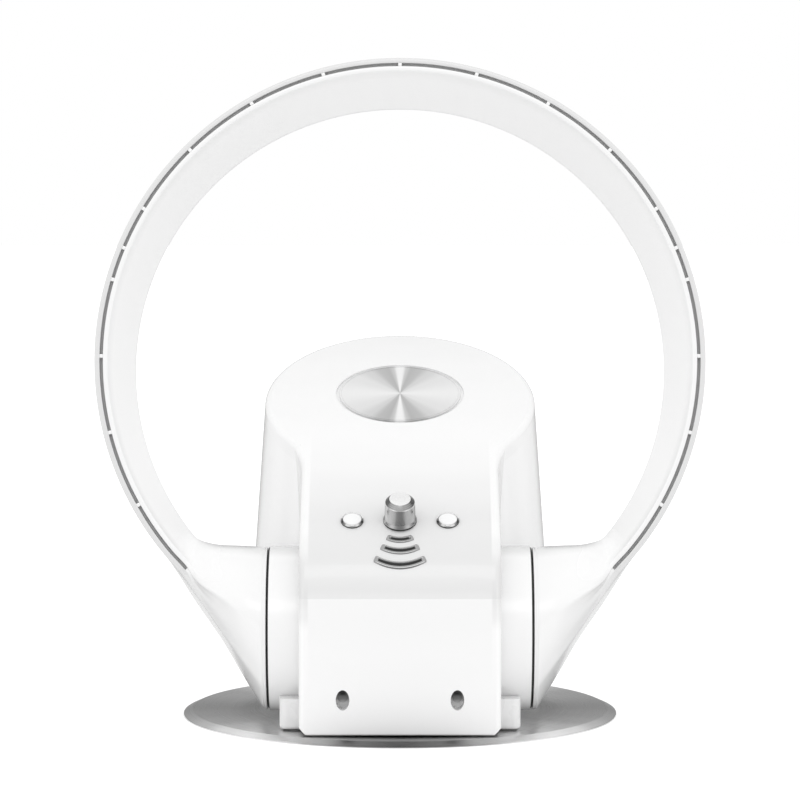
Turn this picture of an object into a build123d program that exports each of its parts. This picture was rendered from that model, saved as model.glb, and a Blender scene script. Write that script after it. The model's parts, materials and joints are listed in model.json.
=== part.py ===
"""Bladeless fan: a hoop on two hollow arms that tilts on a drum, in front of a
tapered blower housing, on a round plate that the whole body swings on.

Millimetres. The origin is the centre of the stand's underside, +Z is up and the
front of the fan faces -Y. "Forward" distances below are measured along -Y.
"""
from build123d import *
from math import atan2, cos, degrees, pi, radians, sin, sqrt, tan
import os

os.makedirs("parts", exist_ok=True)

# ---------------------------------------------------------------- fits
running_gap = 0.05        # shaft in its bearing, radial
moving_gap = 0.4          # between moving pieces that are not a fit
seat_gap = 0.1            # between flat faces that slide on each other
seam_gap = 0.3            # between neighbouring covers
screw_gap = 0.2           # screw in its clearance hole, radial

# ---------------------------------------------------------------- stand
foot_proud = 0.6
foot_depth = 1.0
foot_outer_radius = 138.0
foot_width = 20.0
plate_radius = 145.0
plate_thickness = 3.0
plate_bevel_width = 5.6
plate_bevel_height = 2.5
post_radius = 14.0
post_bore = 8.0
post_flange_radius = 24.0
post_flange_height = 4.0
post_screw_circle = 19.0
post_screw_radius = 1.9
post_screw_head_radius = 3.8
post_screw_count = 4
washer_thickness = 1.0
clip_thickness = 1.5
clip_width = 4.0
clip_groove_depth = 1.0
post_end = 2.0

# ---------------------------------------------------------------- swing drive
gear_module = 1.5
gear_teeth = 48
pinion_teeth = 12
gear_height = 5.0
gear_wall = 5.0
gear_backlash = 0.35
tooth_above_pitch = 0.9   # in modules
tooth_below_pitch = 1.2   # in modules
pressure_angle = 20.0
swing_motor_radius = 15.0
swing_motor_height = 15.0
pinion_shaft_radius = 2.5
pinion_shaft_length = 6.0

# ---------------------------------------------------------------- chassis and saddle
skirt_bottom = 4.6        # lowest edge of the housing above the floor
chassis_thickness = 3.0
chassis_boss_wall = 6.0
chassis_boss_height = 8.0
saddle_half_width = 78.0
saddle_front = 100.0
saddle_rear = 26.0
saddle_top = 30.0
saddle_shoulder_height = 24.5   # beside the front cover the saddle is lower
saddle_bottom_corner = 2.5
saddle_wall = 3.0
saddle_corner = 5.0

# ---------------------------------------------------------------- tilt axis and drum
axis_forward = 48.0
axis_height = 63.9
drum_radius = 54.0
drum_wall = 3.0
drum_half_length = 85.2
drum_end_thickness = 5.0
pivot_radius = 42.0
pivot_wall = 3.0
pivot_flange = 4.0
pivot_flange_thickness = 3.0
bush_wall = 3.0
bush_length = 10.0
seal_thickness = 0.8
seal_inset = 1.2
hub_wall = 4.0

# ---------------------------------------------------------------- arms
arm_wall = 2.5
arm_section_points = 12
hoop_end_half = 8.0
hoop_end_shear = 0.17
# each middle section, as shares of the way from the hub to the hoop's end: its low point
# across and up, its high point across and up, its half depth, and its lean from front to back
arm_middle_shares = (
    (0.28, 0.23, 0.36, 0.13, 0.13, 0.12),
    (0.50, 0.46, 0.68, 0.43, 0.43, 0.35),
    (0.79, 0.72, 0.85, 1.06, 0.78, 0.71),
)

# ---------------------------------------------------------------- hoop
hoop_lean = 11.0          # degrees, top leaning back
hoop_rise = 174.8         # tilt axis to hoop centre
hoop_outer_radius = 200.6
hoop_front_width = 8.7    # the flat front, slot included
hoop_taper = 15.4         # how much narrower the opening is at the back
hoop_half_depth = 30.8
hoop_wall = 2.2
slot_inset = 4.6          # outer edge to the middle of the slot
slot_width = 2.0
slot_depth = 6.0
parting_inset = 14.6      # outer edge to the parting line at the back
shoulder_inset = 6.1      # outer edge to the rounded shoulder
hoop_shoulder_depth = 20.0
hoop_end_angle = -41.0    # where the hoop becomes the arm
rib_width = 2.4
rib_angles = (0.5, 15.5, 22.0, 30.5, 45.0, 60.0, 75.0, 90.0)
lower_rib_angles = (-14.4, -29.4)

# ---------------------------------------------------------------- blower housing
housing_wall = 2.5
housing_rear = 145.0      # behind the origin, a straight vertical line
housing_base_radius = 105.5
housing_top_radius = 88.5
housing_height = 252.0
housing_tuck_height = 32.0    # from here down to the chassis the housing draws in
housing_tuck = 12.2
arm_clearance = 4.0

# ---------------------------------------------------------------- sloped covers
plateau_slope = 22.3
knob_slope = 32.0
crease_slope = 82.9
knob_forward = 88.0
knob_height = 139.0
upper_arc_radius = 777.0
lower_arc_radius = 64.9
front_bottom_forward = 122.0
front_bottom_rise = 1.2
front_bottom_tuck = 0.6
front_corner_bevel = 4.5      # cut off the front cover's lower corners
tongue_half_width = 65.0
tongue_flare_radius = 70.0
flare_bite = 1.5          # how far the flares sink into the housing
cover_wall = 2.5
cover_rim = 9.0
cover_edge_radius = 4.0

# ---------------------------------------------------------------- badge
badge_forward = -57.0
badge_radius = 41.2
badge_thickness = 1.6
badge_recess = 1.4
badge_recess_gap = 2.4

# ---------------------------------------------------------------- controls
knob_base_radius = 10.9
knob_body_radius = 9.6
knob_top_radius = 6.8
knob_length = 18.2
knob_flare_height = 2.0
knob_bevel_height = 2.6
knob_lift = 0.6
encoder_shaft_radius = 3.0
encoder_side = 13.0
encoder_height = 7.0
encoder_neck_radius = 4.5
encoder_neck_length = 5.0
button_offset = 30.9
button_radius = 6.1
button_proud = 2.6
button_travel = 0.8
button_bezel_radius = 7.45
button_bezel_proud = 1.9
button_gap = 0.15
switch_side = 6.0
switch_height = 4.0
arc_radii = (17.0, 25.0, 34.0)
arc_half_angle = 28.0
arc_bezel_width = 4.4
arc_window_width = 2.0
arc_proud = 0.7
board_thickness = 1.6
board_depth = 13.0        # below the cover's outside
board_width = 96.0
board_length = 44.0

# ---------------------------------------------------------------- front screws
well_offset = 36.8
well_height = 27.0
well_width = 8.7
well_tall = 13.0
well_depth = 12.0
cover_screw_radius = 1.6
cover_screw_head_radius = 3.0
cover_screw_length = 12.0

# ---------------------------------------------------------------- intake grille
grille_half_angle = 40.0
grille_bottom = 112.0
grille_top = 206.0
grille_frame = 6.0
grille_slots = 17
grille_rows = 3
grille_row_gap = 5.0
grille_slot_width = 3.2

# ---------------------------------------------------------------- blower
blower_back = 76.0        # impeller axis behind the origin
scroll_radius = 62.0
scroll_wall = 2.0
scroll_bottom = 31.0
scroll_split = 62.0
scroll_top = 98.0
scroll_inlet_radius = 34.0
duct_half_width = 38.0
duct_bottom = 40.0
duct_top = 86.0
impeller_radius = 50.0
impeller_eye_radius = 36.0
impeller_bottom = 40.0
impeller_top = 84.0
impeller_plate = 2.0
impeller_hub_radius = 24.5
impeller_hub_wall = 2.0
impeller_hub_height = 24.0
blade_count = 26
blade_thickness = 1.3
blade_sweep = 35.0
motor_shaft_radius = 1.5
motor_mount_thickness = 1.5
motor_mount_width = 8.0
rotor_wall = 3.0
rotor_height = 17.0
stator_radius = 18.6
stator_height = 13.0
bearing_radius = 4.0
bearing_height = 3.0
bracket_tube_radius = 6.0
bracket_flange_radius = 20.0
bracket_flange_height = 2.5
winding_slots = 9
scroll_leg_radius = 4.0
scroll_leg_circle = 54.0
scroll_leg_angles = (30.0, 150.0, 210.0, 330.0)

# ---------------------------------------------------------------- electrics
jack_height = 24.0
jack_radius = 5.5
jack_bore = 3.2
jack_length = 14.0
jack_bore_depth = 10.0
jack_flange_radius = 8.0
jack_flange_thickness = 1.6
power_board_length = 50.0
power_board_width = 34.0
power_board_back = 112.0
power_board_lift = 5.0
chassis_screw_radius = 1.6
chassis_screw_head_radius = 3.0
chassis_screw_head_height = 1.8
housing_boss_radius = 6.0
housing_boss_height = 12.0
housing_boss_angles = (-8.0, 55.0, 125.0, 188.0)

# ---------------------------------------------------------------- levels worked out
plate_bottom = foot_proud
plate_top = plate_bottom + plate_thickness
flange_top = plate_top + post_flange_height
washer_top = flange_top + washer_thickness
boss_bottom = washer_top + seat_gap
boss_top = boss_bottom + chassis_boss_height
clip_bottom = boss_top + seat_gap
clip_top = clip_bottom + clip_thickness
chassis_bottom = plate_top + gear_height + moving_gap
chassis_top = chassis_bottom + chassis_thickness
gear_pitch_radius = gear_module * gear_teeth / 2
pinion_pitch_radius = gear_module * pinion_teeth / 2
pinion_distance = gear_pitch_radius + pinion_pitch_radius
full_turn = 360.0
reach = 400.0             # larger than the fan, for cutting solids

side = Plane(origin=(0, 0, 0), x_dir=(0, -1, 0), z_dir=(-1, 0, 0))
axis_point = Vector(0, -axis_forward, axis_height)
tilt_plane = Plane(origin=axis_point, x_dir=(0, -1, 0), z_dir=(-1, 0, 0))


def write(part, name):
    """Label a finished piece and write its file."""
    part.label = name
    export_step(part, f"parts/{name}.step")


def housing_radius(height):
    """Outside radius of the tapered housing at a height."""
    share = height / housing_height
    below = max(0, housing_tuck_height - max(height, chassis_top))
    drawn_in = housing_tuck * below / (housing_tuck_height - chassis_top)
    return housing_base_radius + share * (housing_top_radius - housing_base_radius) - drawn_in


# ================================================================ stand
with BuildPart() as base_plate:
    with BuildSketch(Plane.XZ):
        with BuildLine():
            Polyline((0, plate_bottom), (plate_radius, plate_bottom),
                     (plate_radius, plate_top - plate_bevel_height),
                     (plate_radius - plate_bevel_width, plate_top), (0, plate_top), close=True)
        make_face()
    revolve(axis=Axis.Z)
    with BuildSketch(Plane.XY.offset(plate_bottom)):
        Circle(foot_outer_radius)
        Circle(foot_outer_radius - foot_width, mode=Mode.SUBTRACT)
    extrude(amount=foot_depth, mode=Mode.SUBTRACT)
    with Locations(Plane(origin=(0, 0, plate_bottom), z_dir=(0, 0, -1))):
        with PolarLocations(post_screw_circle, post_screw_count):
            CounterSinkHole(post_screw_radius + screw_gap, post_screw_head_radius + screw_gap)
write(base_plate.part, "base_plate")

with BuildPart() as foot_ring:
    with BuildSketch():
        Circle(foot_outer_radius)
        Circle(foot_outer_radius - foot_width, mode=Mode.SUBTRACT)
    extrude(amount=foot_proud + foot_depth)
write(foot_ring.part, "foot_ring")

with BuildPart() as swivel_post:
    with BuildSketch(Plane.XY.offset(plate_top)):
        Circle(post_flange_radius)
    extrude(amount=post_flange_height)
    with BuildSketch(Plane.XY.offset(flange_top)):
        Circle(post_radius)
    extrude(amount=clip_top + post_end - flange_top)
    with BuildSketch(Plane.XY.offset(clip_bottom)):
        Circle(post_radius)
        Circle(post_radius - clip_groove_depth, mode=Mode.SUBTRACT)
    extrude(amount=clip_thickness, mode=Mode.SUBTRACT)
    with BuildSketch(Plane.XY.offset(plate_top)):
        Circle(post_bore)
    extrude(amount=reach, mode=Mode.SUBTRACT)
    with BuildSketch(Plane.XY.offset(plate_top)):
        with PolarLocations(post_screw_circle, post_screw_count):
            Circle(post_screw_radius)
    extrude(amount=post_flange_height - washer_thickness / 2, mode=Mode.SUBTRACT)
write(swivel_post.part, "swivel_post")

with BuildPart() as post_screws:
    with BuildSketch(Plane.XY.offset(plate_bottom)):
        with PolarLocations(post_screw_circle, post_screw_count):
            Circle(post_screw_radius)
    extrude(amount=plate_thickness + post_flange_height - washer_thickness)
    with PolarLocations(post_screw_circle, post_screw_count):
        with Locations((0, 0, plate_bottom)):
            Cone(post_screw_head_radius, post_screw_radius,
                 post_screw_head_radius - post_screw_radius,
                 align=(Align.CENTER, Align.CENTER, Align.MIN))
write(post_screws.part, "post_screws")

with BuildPart() as thrust_washer:
    with BuildSketch(Plane.XY.offset(flange_top)):
        Circle(post_flange_radius - washer_thickness)
        Circle(post_radius + screw_gap, mode=Mode.SUBTRACT)
    extrude(amount=washer_thickness)
write(thrust_washer.part, "thrust_washer")

with BuildPart() as retaining_clip:
    with BuildSketch(Plane.XY.offset(clip_bottom)):
        Circle(post_radius + clip_width)
        Circle(post_radius - clip_groove_depth, mode=Mode.SUBTRACT)
        with Locations((0, -post_radius)):
            Rectangle(clip_width, 2 * clip_width + post_radius / 2, mode=Mode.SUBTRACT)
    extrude(amount=clip_thickness)
write(retaining_clip.part, "retaining_clip")


def tooth_half_angle(teeth):
    """Half the angle of a tooth at its pitch circle, with the backlash taken off."""
    pitch_radius = gear_module * teeth / 2
    return degrees((pi * gear_module / 2 - gear_backlash) / 2 / pitch_radius)


def gear_outline(teeth, first_angle):
    """Corners of a spur gear's outline, four for each tooth."""
    pitch_radius = gear_module * teeth / 2
    tip = pitch_radius + tooth_above_pitch * gear_module
    root = pitch_radius - tooth_below_pitch * gear_module
    pressure = tan(radians(pressure_angle))
    half = tooth_half_angle(teeth)
    root_half = half + degrees((pitch_radius - root) * pressure / pitch_radius)
    tip_half = half - degrees((tip - pitch_radius) * pressure / pitch_radius)
    corners = []
    for tooth in range(teeth):
        middle = first_angle + full_turn * tooth / teeth
        for radius, shift in ((root, -root_half), (tip, -tip_half), (tip, tip_half), (root, root_half)):
            turn = radians(middle + shift)
            corners.append((radius * cos(turn), radius * sin(turn)))
    return corners


with BuildPart() as swivel_gear:
    with BuildSketch(Plane.XY.offset(plate_top)):
        with BuildLine():
            Polyline(*gear_outline(gear_teeth, 90), close=True)
        make_face()
        Circle(gear_pitch_radius - gear_module - gear_wall, mode=Mode.SUBTRACT)
    extrude(amount=gear_height)
write(swivel_gear.part, "swivel_gear")

# ================================================================ swing drive
pinion_phase = 270 + full_turn / pinion_teeth / 2

with BuildPart() as drive_pinion:
    with BuildSketch(Plane(origin=(0, pinion_distance, plate_top + moving_gap))):
        with BuildLine():
            Polyline(*gear_outline(pinion_teeth, pinion_phase), close=True)
        make_face()
    extrude(amount=gear_height - moving_gap)
    with BuildSketch(Plane.XY.offset(plate_top + gear_height)):
        with Locations((0, pinion_distance)):
            Circle(pinion_shaft_radius)
    extrude(amount=chassis_top + pinion_shaft_length - plate_top - gear_height)
write(drive_pinion.part, "drive_pinion")

with BuildPart() as swing_motor:
    with BuildSketch(Plane.XY.offset(chassis_top)):
        with Locations((0, pinion_distance)):
            Circle(swing_motor_radius)
    extrude(amount=swing_motor_height)
    chamfer(swing_motor.edges().group_by(Axis.Z)[-1], 1)
    with BuildSketch(Plane.XY.offset(chassis_top)):
        with Locations((0, pinion_distance)):
            Circle(pinion_shaft_radius + running_gap)
    extrude(amount=pinion_shaft_length + moving_gap, mode=Mode.SUBTRACT)
write(swing_motor.part, "swing_motor")


# ================================================================ cutting and outline solids
def housing_centre(height):
    """How far behind the origin the housing's axis is at a height."""
    return housing_rear - housing_radius(height)


def slope_normal(angle):
    """Outward normal of the sloped cover, as (forward, up), where it falls at an angle."""
    return Vector(sin(radians(angle)), cos(radians(angle)))


knob_point = Vector(knob_forward, knob_height)
upper_arc_centre = knob_point - slope_normal(knob_slope) * upper_arc_radius
lower_arc_centre = knob_point - slope_normal(knob_slope) * lower_arc_radius


def slope_point(angle, depth):
    """Point of the sloped outline, below its surface by depth, where it falls at an angle."""
    if angle < knob_slope:
        return upper_arc_centre + slope_normal(angle) * (upper_arc_radius - depth)
    return lower_arc_centre + slope_normal(angle) * (lower_arc_radius - depth)


def plateau_height(forward):
    """Height of the flat plateau at a place along the fan."""
    start = slope_point(plateau_slope, 0)
    return start.Y + (start.X - forward) * tan(radians(plateau_slope))


crease_point = slope_point(crease_slope, 0)
crease_height = crease_point.Y


def under_slope(depth, half_width):
    """Solid of everything under the sloped outline, lowered by depth."""
    begin = slope_point(plateau_slope, depth)
    crease = slope_point(crease_slope, depth)
    back = Vector(begin.X - reach * cos(radians(plateau_slope)),
                  begin.Y + reach * sin(radians(plateau_slope)))
    with BuildPart() as under:
        with BuildSketch(side):
            with BuildLine():
                Line(back, begin)
                ThreePointArc(begin, slope_point((plateau_slope + knob_slope) / 2, depth),
                              slope_point(knob_slope, depth))
                ThreePointArc(slope_point(knob_slope, depth),
                              slope_point((knob_slope + crease_slope) / 2, depth), crease)
                Polyline(crease, (front_bottom_forward - depth, 0), (back.X, 0), back)
            make_face()
        extrude(amount=half_width, both=True)
    return under.part


def tapered_housing(inset, floor):
    """Solid of the tapered blower housing, smaller all round by inset."""
    with BuildPart() as taper:
        levels = (floor, chassis_top, housing_tuck_height, housing_height)
        for bottom, top in zip(levels, levels[1:]):
            for height in (bottom, top):
                with BuildSketch(Plane.XY.offset(height)):
                    with Locations((0, housing_centre(height))):
                        Circle(housing_radius(height) - inset)
            loft(ruled=True)
    return taper.part


def tongue_prism(inset, floor):
    """Solid of the tongue in plan, with the flares that run it into the housing."""
    height = plateau_height(0)
    radius = housing_radius(height) - inset - flare_bite
    centre = housing_centre(height)
    flare = tongue_flare_radius + inset
    half_width = tongue_half_width - inset
    flare_centre = centre - sqrt((radius + flare) ** 2 - (half_width + flare) ** 2)
    touch = centre + (flare_centre - centre) * radius / (radius + flare)
    with BuildPart() as prism:
        with BuildSketch(Plane.XY.offset(floor)):
            with BuildLine():
                Polyline((-half_width, flare_centre), (-half_width, -reach / 2),
                         (half_width, -reach / 2), (half_width, flare_centre))
                RadiusArc((half_width, flare_centre),
                          ((half_width + flare) * radius / (radius + flare), touch), flare)
                Polyline(((half_width + flare) * radius / (radius + flare), touch),
                         (-(half_width + flare) * radius / (radius + flare), touch))
                RadiusArc((-(half_width + flare) * radius / (radius + flare), touch),
                          (-half_width, flare_centre), flare)
            make_face()
        extrude(amount=reach)
    return prism.part


def tilt_cylinder(radius, half_length):
    """Solid cylinder on the tilt axis."""
    with BuildPart() as cylinder:
        with BuildSketch(tilt_plane):
            Circle(radius)
        extrude(amount=half_length, both=True)
    return cylinder.part


def saddle_block(inset, floor, top):
    """Solid block of the saddle, smaller all round by inset."""
    with BuildPart() as block:
        with BuildSketch(Plane.XY.offset(floor)):
            with Locations((0, -saddle_rear)):
                Rectangle(2 * (saddle_half_width - inset), saddle_front - saddle_rear - inset,
                          align=(Align.CENTER, Align.MAX))
        extrude(amount=top - floor)
    return block.part


def slope_distance(point):
    """How far a point lies from the sloped outline's surface."""
    forward = -point.Y
    if forward < slope_point(plateau_slope, 0).X:
        return abs(point.Z - plateau_height(forward)) * cos(radians(plateau_slope))
    flat = Vector(forward, point.Z)
    if forward < knob_forward:
        return abs((flat - upper_arc_centre).length - upper_arc_radius)
    return abs((flat - lower_arc_centre).length - lower_arc_radius)


def is_rim(edge):
    """True for an edge that borders the sloped surface or the lower front, not across it."""
    middle = edge @ 0.5
    across = edge.bounding_box().size.X > 2 * tongue_half_width - 1 and edge.geom_type == GeomType.LINE
    lower_side = edge.geom_type == GeomType.LINE and middle.Y < -knob_forward and middle.Z > skirt_bottom
    return not across and (slope_distance(middle) < moving_gap or lower_side)


# the covers' common outside: housing and tongue under the slope, its rim rounded
with BuildPart() as cover_outside:
    add(tapered_housing(0, skirt_bottom))
    add(tongue_prism(0, skirt_bottom))
    add(under_slope(0, reach / 2), mode=Mode.INTERSECT)
    fillet(cover_outside.edges().filter_by(is_rim), cover_edge_radius)
    with BuildSketch(side):
        with BuildLine():
            Polyline((front_bottom_forward, skirt_bottom + front_bottom_rise),
                     (front_bottom_forward + front_bottom_tuck, 0),
                     (front_bottom_forward - front_bottom_tuck, 0),
                     (front_bottom_forward - front_bottom_tuck, skirt_bottom), close=True)
        make_face()
    extrude(amount=tongue_half_width, both=True, mode=Mode.SUBTRACT)

# the covers' common inside
with BuildPart() as cover_inside:
    add(tapered_housing(cover_wall, 0))
    add(tongue_prism(cover_wall, 0))
    add(under_slope(cover_wall, reach / 2), mode=Mode.INTERSECT)

# the housing below the cover's rim
with BuildPart() as housing_outside:
    add(tapered_housing(0, skirt_bottom))
    add(under_slope(cover_rim, reach / 2), mode=Mode.INTERSECT)

plateau_plane = Plane(origin=(0, -badge_forward, plateau_height(badge_forward)), x_dir=(1, 0, 0),
                      z_dir=(0, -sin(radians(plateau_slope)), cos(radians(plateau_slope))))
control_plane = Plane(origin=(0, -knob_forward, knob_height), x_dir=(1, 0, 0),
                      z_dir=(0, -sin(radians(knob_slope)), cos(radians(knob_slope))))
button_places = ((-button_offset, 0), (button_offset, 0))
well_places = ((-well_offset, well_height), (well_offset, well_height))
front_face_lean = atan2(front_bottom_forward - crease_point.X, crease_height - skirt_bottom)
well_forward = front_bottom_forward - (well_height - skirt_bottom) * tan(front_face_lean)
well_floor = well_forward - well_depth


def arc_sectors(width, bottom, top):
    """Three ring sectors below the knob, cut to the layer between two depths of the slope."""
    with BuildPart() as sectors:
        with BuildSketch(control_plane.offset(-board_depth)):
            for radius in arc_radii:
                reach_angle = arc_half_angle - (arc_bezel_width - width) / 2 / radians(1) / radius
                with BuildLine():
                    inner = radius - width / 2
                    outer = radius + width / 2
                    start = 270 - reach_angle
                    CenterArc((0, 0), inner, start, 2 * reach_angle)
                    CenterArc((0, 0), outer, start, 2 * reach_angle)
                    for turn in (start, start + 2 * reach_angle):
                        Line((inner * cos(radians(turn)), inner * sin(radians(turn))),
                             (outer * cos(radians(turn)), outer * sin(radians(turn))))
                make_face()
        extrude(amount=2 * board_depth)
        add(under_slope(top, reach / 2), mode=Mode.INTERSECT)
        add(under_slope(bottom, reach / 2), mode=Mode.SUBTRACT)
    return sectors.part


with BuildPart() as top_cover:
    add(cover_outside.part)
    add(cover_inside.part, mode=Mode.SUBTRACT)
    add(housing_outside.part, mode=Mode.SUBTRACT)
    add(tilt_cylinder(drum_radius, reach / 2), mode=Mode.SUBTRACT)
    split(bisect_by=Plane.XY.offset(crease_height), keep=Keep.TOP)
    with BuildSketch(plateau_plane):
        Circle(badge_radius + badge_recess_gap)
    extrude(amount=-badge_recess, mode=Mode.SUBTRACT)
    with BuildSketch(control_plane.offset(-board_depth)):
        Circle(encoder_neck_radius + moving_gap)
        with Locations(*button_places):
            Circle(button_bezel_radius)
    extrude(amount=2 * board_depth, mode=Mode.SUBTRACT)
    add(arc_sectors(arc_bezel_width, cover_wall / 2, -arc_proud), mode=Mode.SUBTRACT)
write(top_cover.part, "top_cover")

with BuildPart() as front_cover:
    add(cover_outside.part)
    add(cover_inside.part, mode=Mode.SUBTRACT)
    split(bisect_by=Plane.XY.offset(crease_height), keep=Keep.BOTTOM)
    with BuildSketch(Plane.XZ.offset(well_forward - cover_wall)):
        with Locations(*well_places):
            Ellipse(well_width / 2 + cover_wall, well_tall / 2 + cover_wall)
    extrude(amount=-well_depth)
    add(saddle_block(-seam_gap, 0, saddle_top), mode=Mode.SUBTRACT)
    add(tilt_cylinder(drum_radius, reach / 2), mode=Mode.SUBTRACT)
    add(tapered_housing(0, 0), mode=Mode.SUBTRACT)
    with BuildSketch(Plane.XY):
        with Locations((0, -axis_forward)):
            Rectangle(reach, reach, align=(Align.CENTER, Align.MIN))
    extrude(amount=housing_tuck_height, mode=Mode.SUBTRACT)
    with BuildSketch(Plane.XZ.offset(well_forward + cover_wall)):
        with Locations(*well_places):
            Ellipse(well_width / 2, well_tall / 2)
    extrude(amount=-well_depth - cover_wall, mode=Mode.SUBTRACT)
    with BuildSketch(Plane.XZ.offset(well_forward)):
        with Locations(*well_places):
            Circle(cover_screw_radius + screw_gap)
    extrude(amount=-2 * well_depth, mode=Mode.SUBTRACT)
    with BuildSketch(Plane.XZ):
        for edge in (-tongue_half_width, tongue_half_width):
            inwards = front_corner_bevel if edge < 0 else -front_corner_bevel
            with BuildLine():
                Polyline((edge, 0), (edge, skirt_bottom + front_corner_bevel),
                         (edge + inwards, skirt_bottom), (edge + inwards, 0), close=True)
            make_face()
    extrude(amount=reach, mode=Mode.SUBTRACT)
write(front_cover.part, "front_cover")

with BuildPart() as badge_disc:
    with BuildSketch(plateau_plane.offset(-badge_recess)):
        Circle(badge_radius)
    extrude(amount=badge_thickness)
    chamfer(badge_disc.edges().group_by(SortBy.LENGTH)[-1].sort_by(Axis.Z)[-1:], badge_thickness / 4)
write(badge_disc.part, "badge_disc")

with BuildPart() as indicator_bezels:
    add(arc_sectors(arc_bezel_width, cover_wall / 2, -arc_proud))
    add(arc_sectors(arc_window_width, cover_wall / 2, -arc_proud), mode=Mode.SUBTRACT)
write(indicator_bezels.part, "indicator_bezels")

with BuildPart() as indicator_windows:
    add(arc_sectors(arc_window_width, cover_wall / 2, 0))
write(indicator_windows.part, "indicator_windows")

# ================================================================ controls
with BuildPart() as speed_knob:
    with BuildSketch(Plane(origin=control_plane.origin, x_dir=(1, 0, 0), z_dir=control_plane.y_dir)):
        with BuildLine():
            Polyline((0, -knob_lift), (knob_base_radius, -knob_lift),
                     (knob_body_radius, -knob_lift - knob_flare_height),
                     (knob_body_radius, -knob_length + knob_bevel_height),
                     (knob_top_radius, -knob_length), (0, -knob_length), close=True)
        make_face()
    revolve(axis=Axis(control_plane.origin, control_plane.z_dir))
    with BuildSketch(control_plane):
        Circle(encoder_shaft_radius)
    extrude(amount=knob_length - knob_bevel_height, mode=Mode.SUBTRACT)
write(speed_knob.part, "speed_knob")

encoder_top = encoder_height - board_depth

with BuildPart() as encoder_shaft:
    with BuildSketch(control_plane.offset(encoder_top - encoder_height / 2)):
        Circle(encoder_shaft_radius)
    extrude(amount=knob_length - knob_bevel_height - encoder_top + encoder_height / 2)
write(encoder_shaft.part, "encoder_shaft")

with BuildPart() as rotary_encoder:
    with BuildSketch(control_plane.offset(-board_depth)):
        Rectangle(encoder_side, encoder_side)
    extrude(amount=encoder_height)
    with BuildSketch(control_plane.offset(encoder_top)):
        Circle(encoder_neck_radius)
    extrude(amount=encoder_neck_length)
    with BuildSketch(control_plane.offset(encoder_top - encoder_height / 2 - moving_gap)):
        Circle(encoder_shaft_radius + running_gap)
    extrude(amount=board_depth, mode=Mode.SUBTRACT)
write(rotary_encoder.part, "rotary_encoder")

with BuildPart() as control_board:
    with BuildSketch(control_plane.offset(-board_depth - board_thickness)):
        Rectangle(board_width, board_length)
        with GridLocations(board_width - 2 * chassis_boss_wall, board_length - 2 * switch_side, 2, 2):
            Circle(chassis_screw_radius, mode=Mode.SUBTRACT)
    extrude(amount=board_thickness)
    with BuildSketch(control_plane.offset(-board_depth)):
        with Locations((button_offset / 2, -encoder_side)):
            Rectangle(switch_side, 2 * switch_side)
        with Locations((-button_offset / 2, -encoder_side)):
            Rectangle(2 * switch_side, switch_side)
    extrude(amount=board_thickness)
write(control_board.part, "control_board")

with BuildPart() as push_switches:
    with BuildSketch(control_plane.offset(-board_depth)):
        with Locations(*button_places):
            Rectangle(switch_side, switch_side)
    extrude(amount=switch_height)
write(push_switches.part, "push_switches")

with BuildPart() as button_bezels:
    with BuildSketch(control_plane.offset(-cover_wall)):
        with Locations(*button_places):
            Circle(button_bezel_radius)
            Circle(button_radius + button_gap, mode=Mode.SUBTRACT)
    extrude(amount=cover_wall + button_bezel_proud)
    rims = button_bezels.edges().filter_by(GeomType.CIRCLE).group_by(SortBy.RADIUS)[-1]
    chamfer(rims.sort_by(Axis(control_plane.origin, control_plane.z_dir))[-2:], button_bezel_proud / 3)
write(button_bezels.part, "button_bezels")

stem_bottom = switch_height - board_depth + button_travel + seat_gap

for button_name, place in (("button_left", button_places[0]), ("button_right", button_places[1])):
    with BuildPart() as push_button:
        with BuildSketch(control_plane.offset(-cover_wall - button_travel)):
            with Locations(place):
                Circle(button_radius)
        extrude(amount=cover_wall + button_travel + button_proud)
        cap_rim = push_button.edges().sort_by(Axis(control_plane.origin, control_plane.z_dir))[-1]
        fillet(cap_rim, button_travel)
        with BuildSketch(control_plane.offset(-cover_wall - button_travel - moving_gap)):
            with Locations(place):
                Circle(button_bezel_radius - button_gap)
        extrude(amount=button_travel)
        with BuildSketch(control_plane.offset(stem_bottom)):
            with Locations(place):
                Circle(switch_side / 4)
        extrude(amount=-stem_bottom - cover_wall - button_travel)
    write(push_button.part, button_name)

# ================================================================ blower housing
def grille_block(inset):
    """Block that marks out the intake grille at the back of the housing."""
    half_width = housing_base_radius * sin(radians(grille_half_angle))
    with BuildPart() as block:
        with BuildSketch(Plane.XY.offset(grille_bottom + inset)):
            with Locations((0, housing_centre(grille_bottom))):
                Rectangle(2 * (half_width - inset), reach, align=(Align.CENTER, Align.MIN))
        extrude(amount=grille_top - grille_bottom - 2 * inset)
    return block.part


def boss_centre(angle):
    """Place of a screw boss just inside the housing wall."""
    radius = housing_radius(chassis_top) - housing_wall - chassis_screw_head_radius - moving_gap
    return (radius * cos(radians(angle)), housing_centre(chassis_top) + radius * sin(radians(angle)))


boss_places = [boss_centre(angle) for angle in housing_boss_angles]

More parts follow.
